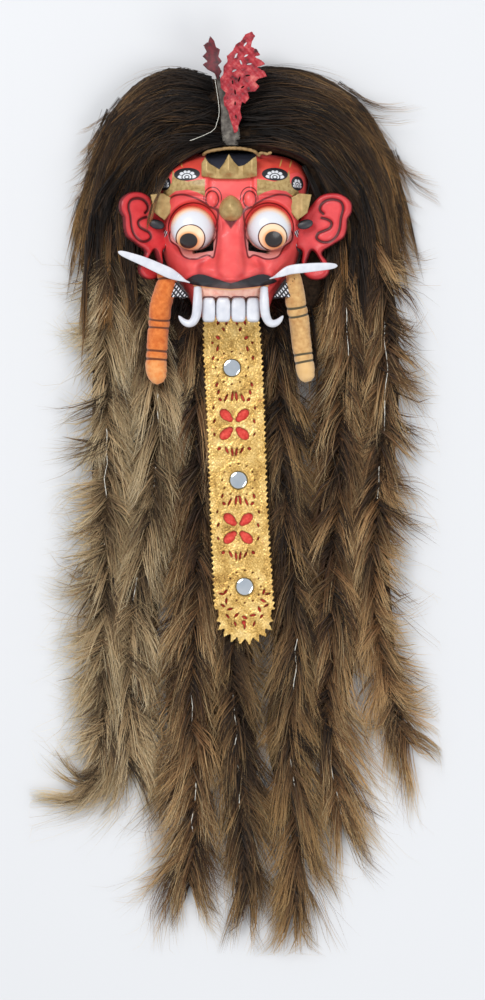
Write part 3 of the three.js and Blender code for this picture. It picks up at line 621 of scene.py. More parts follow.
def relief(x, y):
    """Height of the carving over the plain curved face."""
    side = np.abs(x)
    run = np.clip((26 - y) / 80, 0, 1)
    ridge = (3 + 35 * run**1.6) * smooth(-67, -55, y) * smooth(44, 26, y)
    width = 11 + 8 * run
    nose = ridge * np.exp(-((side / width) ** 2.8))
    wings = 17 * bump((side - 27) / 11, (y + 43) / 10)
    wings = wings - 2.5 * bump((side - 30) / 5, (y + 36) / 4)
    eye = np.hypot(side - EYE_X, y - EYE_Y)
    pit = 8 * (1 - smooth(EYE_R, 34, eye))
    lid = 5.5 * bump((eye - 33) / 4.4) * smooth(-14, 6, y)
    ridge_two = 4.5 * bump((eye - 42) / 5.0) * smooth(0, 24, y)
    pouch = 3.4 * bump((eye - 37) / 4.5) * smooth(0, -18, y)
    cheek = 7 * bump((side - 60) / 17, (y + 30) / 13)
    smile = 3.2 * bump((side - 47 - 0.25 * (y + 40)) / 6, (y + 38) / 12)
    edge = 5 * smooth(24, 29, side) * smooth(45, 50, y)
    line = -62 + 8 * np.clip(side / 50, 0, 1) ** 1.3
    lip = 11 * bump((y - line) / 6) * smooth(59, 45, side)
    gum = 2.2 * bump((y + 71) / 4) * smooth(46, 40, side)
    mouth = 11 * smooth(-73, -79, y) * smooth(49, 45, side)
    return nose + wings + lid + ridge_two + pouch + cheek + smile + edge + lip + gum - mouth - pit


def face_at(t, u, inset=0.0, carved=True):
    """Point of the face; t runs over the stations and u from -1 to 1 across."""
    half, rim, ridge, depth = np.moveaxis(along(FACE_STATIONS, t), -1, 0)
    c = np.abs(u) ** 1.25
    s = np.sqrt(np.clip(1 - c * c, 0, 1))
    x, y = (half - inset) * u, rim + (ridge - rim) * s
    z = np.maximum(0, depth - inset) * s**0.7
    if carved:
        z = z + relief(x, y) * smooth(0.25, 0.7, s) * np.clip(depth / 40, 0, 1)
    return x, y, z


def spaced(count, position, weight):
    """Parameter values from 0 to 1 at even steps of a weighted length."""
    fine = np.linspace(0, 1, 2000)
    run = np.concatenate([[0], np.cumsum(position * weight)])
    return np.interp(np.linspace(0, run[-1], count), run, fine)


def face_grid():
    fine = np.linspace(0, 1, 2000)
    _, _, ridge, depth = along(FACE_STATIONS, fine * LAST_STATION).T
    pace = np.hypot(np.diff(ridge), np.diff(depth))
    mid = fine[1:] * LAST_STATION
    t = spaced(ROWS, pace, 0.5 + 0.5 * smooth(2.2, 3.4, mid) * smooth(13.2, 12.8, mid)) * LAST_STATION
    u = fine * 2 - 1
    s = np.sqrt(1 - (np.abs(u) ** 1.25) ** 2)
    pace = np.hypot(np.diff(90 * u), np.diff(86 * s**0.7))
    u = spaced(COLUMNS, pace, 0.42 + 0.58 * smooth(0.97, 0.86, np.abs(u[1:]))) * 2 - 1
    return np.meshgrid(t, u, indexing="ij")


def slit_edge(x, y):
    """Distance to the viewing slit beside the lower nose side of each eyeball."""
    side = np.abs(x)
    ball = EYE_R + 0.2 - np.hypot(side - EYE_X, y - EYE_Y)
    low = np.maximum(-(y + 21.5) - 0.12 * (side - 34), 20.8 - side)
    top = np.maximum(y + 3.5, side - 47)
    return np.maximum(np.maximum(ball, low), top)


def build_face():
    t, u = face_grid()
    x, y, z = face_at(t, u)
    xi, yi, zi = face_at(t, u, WALL, False)
    yi = yi - WALL * (1 - smooth(0.9, 3.5, t)) + WALL * smooth(12.4, 13.2, t)
    zi[[0, -1]] = 0
    z[[0, -1]] = 0
    # the slits' edges are drawn onto the grid before the holes are cut
    hole, h = slit_edge(x, y), 0.05
    gx, gy = (slit_edge(x + h, y) - hole) / h, (slit_edge(x, y + h) - hole) / h
    near = (np.abs(hole) < 0.95) & (z > 30)
    size = np.maximum(gx * gx + gy * gy, 0.3)
    mx, my = np.where(near, -hole * gx / size, 0), np.where(near, -hole * gy / size, 0)
    x, y, xi, yi = x + mx, y + my, xi + mx, yi + my
    outer, inner = (np.stack([x, y, z], -1).reshape(-1, 3), np.stack([xi, yi, zi], -1).reshape(-1, 3))
    hole = np.where(near, 0, hole)
    quads = grid_faces(ROWS, COLUMNS)
    middle = outer[quads].mean(1)
    open_slit = (slit_edge(middle[:, 0], middle[:, 1]) < 0) & (hole.ravel()[quads] <= 0).all(1)
    open_slit &= middle[:, 2] > 30
    open_mouth = (t.ravel()[quads].min(1) > 13.02) & (np.abs(middle[:, 0]) < 40) & (middle[:, 2] < 50)
    kept = quads[~(open_slit | open_mouth)]
    edges = np.concatenate([kept[:, [k, (k + 1) % 4]] for k in range(4)])
    code = edges[:, 0].astype(np.int64) * len(outer) + edges[:, 1]
    back = edges[:, 1].astype(np.int64) * len(outer) + edges[:, 0]
    open_edges = edges[~np.isin(code, back)]
    a, b = open_edges.T
    n = len(outer)
    walls = np.stack([b, a, a + n, b + n], axis=1)
    points = np.concatenate([outer, inner])
    return points, [kept, (kept + n)[:, ::-1], walls], n


def zones(points):
    """Signed distance of each point to every painted outline."""
    flat = np.stack([np.abs(points[:, 0]), points[:, 1]], axis=1)
    found = {}
    for key, rows in (("fold", FOLD), ("pocket", POCKET), ("brow_gold", BROW_GOLD),
                      ("brow_band", BROW_BAND)):
        outline = even(rows, 90, closed=True) if key in ("fold", "pocket") else np.array(rows, float)
        found[key] = to_outline(flat, outline)
    for key, rows in (("moustache", MOUSTACHE), ("gum", GUM), ("vee", VEE), ("nose", NOSE_EDGE)):
        found[key] = to_outline(points[:, :2], mirrored(rows))
    teeth = np.full(len(points), 99.0)
    for a, b in zip(TOOTH_EDGES[:-1], TOOTH_EDGES[1:]):
        qx = np.abs(points[:, 0] - (a + b) / 2) - (b - a) / 2 + 5
        qy = np.abs(points[:, 1] + 90) - 15.2 + 5
        d = np.hypot(np.maximum(qx, 0), np.maximum(qy, 0)) + np.minimum(np.maximum(qx, qy), 0) - 5
        teeth = np.minimum(teeth, d)
    found["teeth"] = teeth
    return found


TOOTH_EDGES = [-35, -18, 0, 18, 35]
RED, DEEP_RED = tint(236, 88, 86), tint(112, 22, 26)
GOLD, GOLD_DARK = tint(172, 144, 92), tint(146, 118, 70)
BLACK, WHITE = tint(34, 33, 38), tint(219, 221, 226)


def ellipse(paint, x, y, cx, cy, rx, ry):
    """1 on the ellipse's edge, less inside."""
    a = paint.sum("DIVIDE", paint.sum("SUBTRACT", x, cx), rx)
    b = paint.sum("DIVIDE", paint.sum("SUBTRACT", y, cy), ry)
    return paint.sum("SQRT", paint.sum("ADD", paint.sum("MULTIPLY", a, a), paint.sum("MULTIPLY", b, b)))


def mask_place(paint):
    """X and Y in mm from the face's centreline at eye level."""
    x, y, z = paint.split(paint.place())
    x = paint.sum("MULTIPLY_ADD", x, 1000.0, float(-SHIFT[0] * 1000))
    y = paint.sum("MULTIPLY_ADD", y, 1000.0, float(-SHIFT[1] * 1000))
    return x, y, paint.sum("MULTIPLY", z, 1000.0)


def ring(paint, distance, half, soft=0.35):
    """1 on a line where distance is near zero."""
    return paint.step(paint.sum("ABSOLUTE", distance), half - soft, half + soft, rise=0.0)


def face_paint():
    paint = Paint("painted_face", roughness=0.4, specular=0.4, coat=0.08)
    x, y, _ = mask_place(paint)
    side = paint.sum("ABSOLUTE", x)
    speck = paint.noise(60, 5)
    colour = paint.ramp(speck, (0.25, tint(228, 78, 78)), (0.55, RED), (0.8, tint(243, 104, 98)))
    fold, pocket = paint.value("fold"), paint.value("pocket")
    # soft shade beside the drawn lines
    wing = ellipse(paint, side, y, 25.5, -42, 12.5, 12)
    wing = paint.sum("MULTIPLY", paint.sum("SUBTRACT", wing, 1.0), 12.0)
    behind = paint.sum("MULTIPLY", paint.step(side, 25, 34), paint.step(y, -52, -46))
    shaded = paint.sum("ADD", paint.sum("ABSOLUTE", wing), paint.sum("MULTIPLY_ADD", behind, -9.0, 9.0))
    for distance, reach, share in ((fold, 9, 0.5), (paint.value("nose"), 5, 0.45), (pocket, 6, 0.4),
                                   (paint.value("moustache"), 3.5, 0.7), (shaded, 6, 0.6)):
        soft = paint.step(paint.sum("ABSOLUTE", distance), 0.0, reach, rise=0.0)
        colour = paint.over(paint.sum("MULTIPLY", soft, share), colour, tint(170, 36, 42))
    # inside of the lid: orange towards the ball; the pocket under the ball is filled as painted shade of the
    # hollow there
    eye = ellipse(paint, side, y, EYE_X, EYE_Y, EYE_R, EYE_R)
    colour = paint.over(paint.step(pocket, -0.4, 0.4, rise=0.0), colour, tint(206, 128, 122))
    upper = paint.sum("MULTIPLY", ring(paint, fold, 1.15), paint.step(y, 6, 12))
    lower = paint.sum("MULTIPLY", ring(paint, pocket, 1.05), paint.step(y, 4, 8, rise=0.0))
    lines = paint.sum("MAXIMUM", upper, lower)
    rim = paint.sum("MULTIPLY", paint.sum("SUBTRACT", eye, 1.12), EYE_R)
    inner = paint.sum("MULTIPLY", paint.step(side, 30, 34, rise=0.0), paint.step(y, -24, -20))
    inner = paint.sum("MAXIMUM", paint.step(y, 2, 8), inner)
    lines = paint.sum("MAXIMUM", lines, paint.sum("MULTIPLY", ring(paint, rim, 0.7), inner))
    # the two curls over the nose
    d = ellipse(paint, side, y, CURL_X, 41.2, 7.6, 10.0)
    inner = ring(paint, paint.sum("MULTIPLY", paint.sum("SUBTRACT", d, 1.0), 8.0), 0.9)
    lines = paint.sum("MAXIMUM", lines, inner)
    d = ellipse(paint, side, y, CURL_X - 0.6, 42.5, 10.5, 13.5)
    outer = ring(paint, paint.sum("MULTIPLY", paint.sum("SUBTRACT", d, 1.0), 12.0), 0.7)
    lines = paint.sum("MAXIMUM", lines, paint.sum("MULTIPLY", outer, paint.step(y, 38, 42)))
    colour = paint.over(lines, colour, DEEP_RED)
    # brows
    worn = paint.noise(240, 4)
    gold = paint.ramp(worn, (0.3, GOLD_DARK), (0.5, GOLD), (0.75, tint(192, 166, 112)))
    brow_gold, band = paint.value("brow_gold"), paint.value("brow_band")
    red_band = paint.ramp(speck, (0.3, tint(206, 56, 50)), (0.7, tint(232, 86, 70)))
    leaning = paint.sum("MULTIPLY_ADD", y, -0.25, side)
    ticks = paint.sum("MAXIMUM", *[
        paint.step(ellipse(paint, leaning, y, cx, 87, 0.9, 6), 0.7, 1.2, rise=0.0) for cx in (38, 50)
    ])
    red_band = paint.over(ticks, red_band, tint(222, 170, 92))
    colour = paint.over(paint.step(band, -0.3, 0.3, rise=0.0), colour, red_band)
    colour = paint.over(paint.step(brow_gold, -0.3, 0.3, rise=0.0), colour, gold)
    for cx, cy, rx, ry in ((52.5, 72, 15.6, 8.0), (79.5, 62.5, 7.4, 8.6)):
        d = ellipse(paint, side, y, cx, cy, rx, ry)
        colour = paint.over(paint.step(d, 0.97, 1.03, rise=0.0), colour, BLACK)
        angle = paint.sum("ARCTAN2", paint.sum("SUBTRACT", y, cy - 3.5), paint.sum("SUBTRACT", side, cx))
        wave = paint.sum("ABSOLUTE", paint.sum("COSINE", paint.sum("MULTIPLY", angle, 5.0)))
        low = ellipse(paint, side, y, cx, cy - 3.5, rx * 0.8, ry * 1.15)
        edge = paint.sum("MULTIPLY_ADD", wave, 0.16, 0.74)
        petal = paint.sum("MULTIPLY", paint.step(paint.sum("SUBTRACT", low, edge), -0.04, 0.04, rise=0.0),
                          paint.step(low, 0.5, 0.56))
        petal = paint.sum("MULTIPLY", petal, paint.step(wave, 0.12, 0.32))
        heart = paint.step(paint.sum("ABSOLUTE", paint.sum("SUBTRACT", low, 0.34)), 0.06, 0.1, rise=0.0)
        heart = paint.sum("MAXIMUM", heart, paint.step(low, 0.12, 0.18, rise=0.0))
        petal = paint.sum("MAXIMUM", petal, heart)
        petal = paint.sum("MULTIPLY", petal, paint.step(d, 0.8, 0.88, rise=0.0))
        petal = paint.sum("MULTIPLY", petal, paint.step(y, cy - 5.6, cy - 4.8))
        colour = paint.over(petal, colour, WHITE)
    # roof behind the crown
    roof = paint.sum("MULTIPLY", paint.step(side, 30, 31, rise=0.0), paint.step(y, 69, 70))
    colour = paint.over(roof, colour, tint(58, 60, 72))
    # mouth
    moustache, gum = paint.value("moustache"), paint.value("gum")
    gum_colour = paint.ramp(paint.noise(150, 3), (0.3, tint(232, 160, 142)), (0.7, tint(246, 200, 180)))
    colour = paint.over(paint.step(gum, -0.2, 0.3, rise=0.0), colour, gum_colour)
    arch = paint.sum("MULTIPLY", ring(paint, paint.sum("SUBTRACT", paint.value("teeth"), 0.4), 0.55),
                     paint.step(gum, -0.2, 0.3, rise=0.0))
    colour = paint.over(arch, colour, tint(120, 60, 66))
    below = paint.sum("MULTIPLY", ring(paint, paint.sum("SUBTRACT", moustache, 0.9), 0.7),
                      paint.step(gum, -0.5, 2.5, rise=0.0))
    colour = paint.over(below, colour, tint(228, 176, 120))
    colour = paint.over(paint.step(moustache, -0.3, 0.3, rise=0.0), colour, BLACK)
    # dark red V under the boss: it carries on the brow folds as a drawn line, and is painted shadow under
    # the boss as well
    colour = paint.over(paint.step(paint.value("vee"), -1.0, 1.6, rise=0.0), colour, tint(104, 24, 30))
    # striped patches beside the eyes
    slant = paint.sum("ADD", side, paint.sum("MULTIPLY", y, 0.45))
    stripe = paint.sum("SINE", paint.sum("MULTIPLY", slant, 2.4))
    patch = paint.over(paint.step(stripe, 0.1, 0.5), BLACK, WHITE)
    for cx, cy, rx, ry in ((84, 3, 8, 5), (84, -12, 6, 6)):
        d = ellipse(paint, side, y, cx, cy, rx, ry)
        colour = paint.over(paint.step(d, 0.95, 1.05, rise=0.0), colour, patch)
    # plain wood inside
    rough_wood = paint.ramp(paint.noise(90, 5, stretch=(1, 0.2, 1)),
                            (0.3, tint(120, 92, 64)), (0.7, tint(168, 134, 96)))
    colour = paint.over(paint.value("inside"), colour, rough_wood)
    return paint.colour(colour).relief(paint.noise(900, 2), 0.12, 0.5).material


def ball(cx, cy, cz, rx, ry, rz, rows=32, columns=60):
    """Ellipsoid as a closed skin with its poles along z."""
    down, round_ = np.meshgrid(np.linspace(0.02, np.pi - 0.02, rows),
                               np.linspace(0, TAU, columns, endpoint=False), indexing="ij")
    rings = np.stack([cx + rx * np.sin(down) * np.cos(round_), cy + ry * np.sin(down) * np.sin(round_),
                      cz + rz * np.cos(down)], axis=-1)
    return loft(rings)


def eye_paint():
    paint = Paint("eyeball", roughness=0.28, specular=0.5, coat=0.15)
    x, y, _ = mask_place(paint)
    side = paint.sum("ABSOLUTE", x)
    rim = ellipse(paint, side, y, EYE_X, EYE_Y - 3.0, EYE_R, EYE_R)
    white = paint.ramp(rim, (0.0, WHITE), (0.8, tint(216, 219, 225)), (1.0, tint(214, 190, 186)))
    blush = paint.ramp(paint.sum("MULTIPLY", rim, 0.8), (0.62, tint(218, 220, 226)),
                       (0.74, tint(244, 206, 170)), (0.84, tint(236, 120, 84)))
    colour = paint.over(paint.step(y, 6, 20), white, blush)
    right = paint.step(x, -1.0, 1.0)
    iris_left = ellipse(paint, x, y, -48.2, -5.0, 17.2, 15.6)
    iris_right = ellipse(paint, x, y, 49.8, -3.4, 17.0, 15.6)
    iris = paint.sum("ADD", paint.sum("MULTIPLY", right, iris_right),
                     paint.sum("MULTIPLY", paint.sum("SUBTRACT", 1.0, right), iris_left))
    pupil_left = ellipse(paint, x, y, -50.4, -8.2, 10.6, 8.7)
    pupil_right = ellipse(paint, x, y, 51.0, -6.4, 10.5, 9.3)
    pupil = paint.sum("ADD", paint.sum("MULTIPLY", right, pupil_right),
                      paint.sum("MULTIPLY", paint.sum("SUBTRACT", 1.0, right), pupil_left))
    ring_colour = paint.ramp(paint.sum("SUBTRACT", pupil, 0.9), (0.0, tint(206, 120, 66)),
                             (0.22, tint(238, 176, 122)), (0.5, tint(248, 214, 178)))
    colour = paint.over(paint.step(iris, 0.98, 1.02, rise=0.0), colour, ring_colour)
    edge = paint.step(paint.sum("ABSOLUTE", paint.sum("SUBTRACT", iris, 1.0)), 0.03, 0.055, rise=0.0)
    colour = paint.over(edge, colour, tint(78, 34, 30))
    colour = paint.over(paint.step(pupil, 0.97, 1.03, rise=0.0), colour, tint(36, 30, 30))
    return paint.colour(colour).material


def plain_paint(name, low, high, scale=120, roughness=0.4, metallic=0.0, depth=0.1, coat=0.0):
    paint = Paint(name, roughness=roughness, metallic=metallic, coat=coat)
    grain = paint.noise(scale, 5)
    paint.colour(paint.ramp(grain, (0.3, low), (0.7, high)))
    return paint.relief(paint.noise(scale * 5, 3), depth, 0.6).material


def striped_paint():
    """Black with short white strokes in slanting rows."""
    paint = Paint("striped_tab", roughness=0.45, specular=0.4)
    x, y, _ = mask_place(paint)
    side = paint.sum("ABSOLUTE", x)
    row = paint.sum("SINE", paint.sum("MULTIPLY", paint.sum("MULTIPLY_ADD", y, 0.7, side), 1.5))
    stroke = paint.sum("SINE", paint.sum("MULTIPLY", paint.sum("MULTIPLY_ADD", y, -0.9, side), 0.9))
    marks = paint.sum("MULTIPLY", paint.step(row, -0.1, 0.3), paint.step(stroke, -0.5, -0.1))
    return paint.colour(paint.over(marks, BLACK, WHITE)).material


MATTE_GOLD = plain_paint("matte_gold", tint(154, 126, 76), tint(186, 158, 104), 160, 0.46, 0.3, 0.15)
IVORY = plain_paint("tooth_white", tint(200, 203, 212), tint(222, 223, 228), 90, 0.3, 0, 0.05, 0.1)


def tooth(left, right):
    """Front tooth: rounded block, fuller in the middle of its face."""
    cx, half, cy, tall = (left + right) / 2, (right - left) / 2 - 0.45, -90.0, 14.6
    angle = np.linspace(0, TAU, 56, endpoint=False)
    c, s = np.cos(angle), np.sin(angle)
    power = np.where(s > 0, 0.62, 0.42)
    ox, oy = np.sign(c) * np.abs(c) ** 0.45, np.sign(s) * np.abs(s) ** power
    rings = []
    for share, z in ((0.9, 72), (0.97, 73), (1, 76), (1, 84), (0.985, 86.4), (0.95, 88), (0.86, 89.3),
                     (0.7, 90), (0.45, 90.4), (0.2, 90.5)):
        shrink_x, shrink_y = half - (1 - share) * half, tall - (1 - share) * half * 1.4
        rings.append(np.stack([cx + ox * shrink_x, cy + oy * shrink_y,
                               np.full(56, z) - 0.006 * (cx + ox * shrink_x) ** 2], axis=1))
    return loft(rings)


def fang(side):
    path = even([(39.6, -64, 82), (39.6, -76, 86.5), (40.2, -88, 87.5), (41.8, -98, 87.5),
                 (45.5, -104.8, 87.5), (51, -106.6, 87), (57, -103.6, 86),
                 (62.5, -97, 85)], 46) * [side, 1, 1]
    run = np.linspace(0, 1, 46)
    radius = 5.7 * np.clip(1 - run**4, 0.001, 1) ** 0.62 * (0.84 + 0.16 * smooth(0, 0.3, run))
    return tube(path, radius, 18)


def crown_front(points):
    x, y = points[:, 0], points[:, 1]
    z = np.full(len(x), 89.0)
    rise = smooth(66, 74, y)
    for cx in (-28.5, -2.5, 25.5):
        z = np.maximum(z, 89 + 7.5 * rise * np.clip(1 - np.abs(x - cx) / 11.5, 0, 1) ** 0.8)
    return z - 0.25 * np.maximum(y - 76, 0)


def cut_sheet(shape, low, high, cell, top, bottom):
    """Closed sheet wherever shape(points) is below zero, between two heights over the plane."""
    nx, ny = int(round((high[0] - low[0]) / cell)) + 1, int(round((high[1] - low[1]) / cell)) + 1
    gx, gy = np.meshgrid(np.linspace(low[0], high[0], nx), np.linspace(low[1], high[1], ny))
    p = np.stack([gx.ravel(), gy.ravel()], axis=1)
    d, h = shape(p), 0.02
    slope = np.stack([shape(p + [h, 0]) - d, shape(p + [0, h]) - d], axis=1) / h
    near = np.abs(d) < 0.52 * cell
    size = np.maximum((slope**2).sum(1), 0.25)
    move = np.clip(-(d / size)[:, None] * slope, -0.7 * cell, 0.7 * cell)
    p = p + np.where(near[:, None], move, 0)
    d = np.where(near, 0, d)
    r, c = np.meshgrid(np.arange(ny - 1), np.arange(nx - 1), indexing="ij")
    a = (r * nx + c).ravel()
    odd = ((r + c) % 2).ravel() == 1
    b, d_up, e = a + 1, a + nx, a + nx + 1
    one = np.where(odd[:, None], np.stack([a, b, e], 1), np.stack([a, b, d_up], 1))
    two = np.where(odd[:, None], np.stack([a, e, d_up], 1), np.stack([b, e, d_up], 1))
    tris = np.concatenate([one, two])
    tris = tris[(d[tris] <= 0).all(1)]
    flat = (d[tris] == 0).all(1)
    keep = np.ones(len(tris), bool)
    keep[flat] = shape(p[tris[flat]].mean(1)) < -0.05 * cell
    tris = tris[keep]
    edges = np.concatenate([tris[:, [0, 1]], tris[:, [1, 2]], tris[:, [2, 0]]]).astype(np.int64)
    rim = edges[~np.isin(edges[:, 0] * len(p) + edges[:, 1], edges[:, 1] * len(p) + edges[:, 0])]
    used, back = np.unique(tris, return_inverse=True)
    tris = back.reshape(-1, 3)
    number = np.full(len(p), -1)
    number[used] = np.arange(len(used))
    rim, p, d = number[rim], p[used], d[used]
    n = len(p)
    walls = np.stack([rim[:, 1], rim[:, 0], rim[:, 0] + n, rim[:, 1] + n], axis=1)
    points = np.concatenate([np.column_stack([p, top(p)]), np.column_stack([p, bottom(p)])])
    return points, [tris, (tris + n)[:, ::-1], walls]


def petals(places):
    """Distance to the nearest of some slanting ovals: (x, y, half length, half width, turn)."""
    rows = np.array(places, float)

    def distance(p):
        best = np.full(len(p), 99.0)
        for cx, cy, long, wide, turn in rows:
            reach = 1.5 * max(long, wide) + 4
            near = (np.abs(p[:, 0] - cx) < reach) & (np.abs(p[:, 1] - cy) < reach)
            if not near.any():
                continue
            q = p[near] - (cx, cy)
            c, s = np.cos(turn), np.sin(turn)
            d = (np.hypot(q @ (c, s) / long, q @ (-s, c) / wide) - 1) * min(long, wide)
            best[near] = np.minimum(best[near], d)
        return best

    return distance


def plate(rim, reach, top, back):
    """Small flat carving with a straight-sided outline; reach is its lowest and highest Y."""
    return cut_sheet(lambda p: to_outline(p, rim), (min(rim[:, 0]) - 1, reach[0]),
                     (max(rim[:, 0]) + 1, reach[1]), 1.2, top, lambda p: np.full(len(p), back))


def build_mask():
    points, faces, outside = build_face()
    values = zones(points)
    values["inside"] = (np.arange(len(points)) >= outside).astype(float)
    face = make_piece("carved_face", points, faces, [face_paint()], "painted_wood", values=values)
    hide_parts("mask")
    eyes = joined([ball(EYE_X * s, EYE_Y, EYE_Z, EYE_R, EYE_R, EYE_BULGE) for s in (-1, 1)])
    make_piece("eyeballs", eyes[0], eyes[1], [eye_paint()], "painted_wood")
    teeth = joined([tooth(a, b) for a, b in zip(TOOTH_EDGES[:-1], TOOTH_EDGES[1:])] + [fang(-1), fang(1)])
    make_piece("teeth", teeth[0], teeth[1], [IVORY], "painted_wood")
    curls = joined([ball(CURL_X * s, 41.2, 87.5, 6.9, 9.3, 6.5, 24, 40) for s in (-1, 1)])
    make_piece("forehead_curls", curls[0], curls[1],
               [plain_paint("curl_red", tint(226, 76, 76), tint(238, 96, 92), 90)], "painted_wood")
    # gilded boss: a drop with a sharp ridge down its front
    rings = []
    for share, z in ((1.0, 84), (1.0, 90), (0.9, 95), (0.72, 99.5), (0.5, 103), (0.26, 105.6), (0.05, 107)):
        angle = np.linspace(0, TAU, 48, endpoint=False)
        c, s = np.cos(angle), np.sin(angle)
        wide = 14.4 * np.where(s > 0, np.abs(c) ** 1.35, np.abs(c) ** 0.9) * np.sign(c)
        tall = np.where(s > 0, 17.5 * s, 13.5 * s)
        rings.append(np.stack([wide * share, 28.5 + tall * share + (1 - share) * 3,
                               z + 2.5 * share * (1 - np.abs(c)) * (z > 86)], axis=1))
    boss = loft(rings)
    crown_outline = [(-35, 69), (-35, 84), (-31, 91), (-26, 84), (-19, 80), (-14, 77), (-9, 83), (-2.5, 95),
                     (3.5, 86), (9, 80.5), (16, 82), (23, 87), (30, 93), (31, 86), (31, 69), (22, 67),
                     (10, 65.6), (-4, 65.6), (-18, 66)]
    outline = np.array(crown_outline, float)
    crown = cut_sheet(lambda p: to_outline(p, outline), (-37, 62), (33, 97), 1.0, crown_front,
                      lambda p: np.full(len(p), 76.0))
    leaves = []
    for side in (-1, 1):
        rim = np.array([(70, 44), (81, 50), (96.5, 48.5), (91.5, 27), (79.5, 17.5), (70, 30)], float)
        rim = rim * [side, 1]
        leaves.append(plate(rim, (16, 52), lambda p: 66 + 2.5 * bump((np.abs(p[:, 0]) - 86) / 5), 60.0))
    lobes = []
    for side in (-1, 1):
        oval = petals([(89 * side, 13.5, 9.5, 5.6, 0.25 * side)])
        lobes.append(cut_sheet(oval, (89 * side - 11, 6), (89 * side + 11, 21), 0.9,
                               lambda p: 58 + 2.0 * np.clip(-oval(p) / 4, 0, 1) ** 0.6,
                               lambda p: np.full(len(p), 55.0)))
    dark = joined(lobes)
    black = plain_paint("lobe_black", tint(30, 30, 34), tint(48, 48, 54))
    make_piece("side_lobes", dark[0], dark[1], [black], "painted_wood")
    # striped tabs between the jaw and the pendants
    tabs = []
    for side in (-1, 1):
        rim = np.array([(72, -74), (66, -55), (50, -74)], float) * [side, 1]
        tabs.append(plate(rim, (-76, -53), lambda p: np.full(len(p), 64.0), 61.5))
    tab = joined(tabs)
    make_piece("jaw_tabs", tab[0], tab[1], [striped_paint()], "painted_wood")
    gilt = joined([boss, crown, *leaves])
    make_piece("gilding", gilt[0], gilt[1], [MATTE_GOLD], "painted_wood")


build_mask()


# ------------------------------------------------------------------ fur hood
HOOD_EDGE = [
    (206, 20), (204, 80), (164, 164), (106, 190), (36, 206), (-20, 200), (-66, 208), (-112, 192),
    (-152, 140), (-172, 72), (-186, 0), (-186, -52), (-140, -62), (-84, -104), (-40, -120),
    (0, -124), (44, -120), (88, -104), (140, -62), (204, -46),
]
RIM = [(93, 66), (92, 78), (84, 86), (68, 94), (46, 98.4), (0, 100.4), (-46, 98.4), (-68, 94), (-84, 86),
       (-92, 78), (-93, 66), (-90, 45), (-87, 20), (-86, 0), (-82, -20), (-76, -38), (-68, -52), (-62, -68),
       (-57, -82), (-52, -97), (0, -98), (52, -97), (57, -82), (62, -68), (68, -52), (76, -38), (82, -20),
       (86, 0), (87, 20), (90, 45)]


def reach_of(loop, angle):
    """Distance from the bridge of the nose to a closed loop, in each direction."""
    fine = even(loop, 400, closed=True)
    bearing = np.arctan2(fine[:, 1], fine[:, 0])
    order = np.argsort(bearing)
    far = np.hypot(fine[:, 0], fine[:, 1])[order]
    return np.interp(angle, bearing[order], far, period=TAU)


def hood_roof(x, y):
    """Height of the fur over the ground, and how far out it lies from the rim to its edge."""
    angle, far = np.arctan2(y, x), np.hypot(x, y)
    inner = reach_of(RIM, angle) + 2.4
    outer = reach_of(HOOD_EDGE, angle)
    u = np.clip((far - inner) / np.maximum(outer - inner, 4), 0, 1.2)
    high = smooth(0.42, 0.8, y / np.maximum(far, 1))
    low_row = np.interp(u, [0, 0.1, 0.55, 0.9, 1, 1.2], [22, 25, 29, 25, 14, 4])
    top_row = np.interp(u, [0, 0.1, 0.55, 0.9, 1, 1.2], [66, 76, 62, 36, 16, 4])
    return low_row + (top_row - low_row) * high, u


# Runs of the hair on each side of the parting, from the face outwards: places along each.
FLOW_RIGHT = [
    [(4, 108), (48, 106), (96, 88), (134, 52), (160, 8), (176, -42)],
    [(6, 126), (62, 132), (118, 108), (156, 62), (178, 8), (190, -48)],
    [(2, 152), (62, 162), (120, 142), (164, 94), (188, 34), (198, -24)],
    [(0, 176), (60, 186), (118, 170), (164, 128), (192, 70), (204, 10)],
    [(2, 198), (50, 207), (108, 196), (160, 158), (194, 102), (210, 48)],
]
FLOW_LEFT = [
    [(-6, 108), (-44, 98), (-78, 72), (-98, 36), (-110, 4), (-118, -24)],
    [(-10, 124), (-58, 124), (-104, 98), (-134, 56), (-150, 8), (-160, -44)],
    [(-14, 150), (-64, 156), (-114, 132), (-146, 86), (-162, 32), (-172, -30)],
    [(-20, 176), (-70, 184), (-118, 162), (-152, 116), (-168, 60), (-182, -2)],
    [(-24, 196), (-66, 205), (-108, 190), (-146, 148), (-168, 94), (-186, 34)],
]


# Behind the ears and beside the jaw, and under the chin.
FLOW_LOW_RIGHT = [
    [(84, 84), (104, 50), (112, 8), (112, -32), (110, -72), (108, -112)],
    [(104, 88), (132, 54), (142, 14), (142, -30), (142, -72), (142, -116)],
    [(130, 92), (160, 58), (172, 16), (176, -28), (180, -72), (184, -116)],
]
FLOW_LOW_LEFT = [[(-x, y) for x, y in line] for line in FLOW_LOW_RIGHT]
FLOW_CHIN_RIGHT = [
    [(14, -96), (16, -110), (17, -124), (18, -140), (18, -156), (18, -172)],
    [(50, -84), (54, -102), (58, -120), (60, -138), (62, -156), (63, -172)],
    [(84, -40), (92, -66), (98, -90), (102, -114), (104, -138), (104, -160)],
]
# A few locks that have slipped over the left brow and ear.
FLOW_FRINGE = [
    [(-8, 110), (-34, 106), (-58, 92), (-76, 68), (-88, 40), (-94, 14)],
    [(-10, 114), (-48, 108), (-80, 86), (-100, 54), (-112, 20), (-120, -16)],
]
FLOW_CHIN_LEFT = [[(-x, y) for x, y in line] for line in FLOW_CHIN_RIGHT]


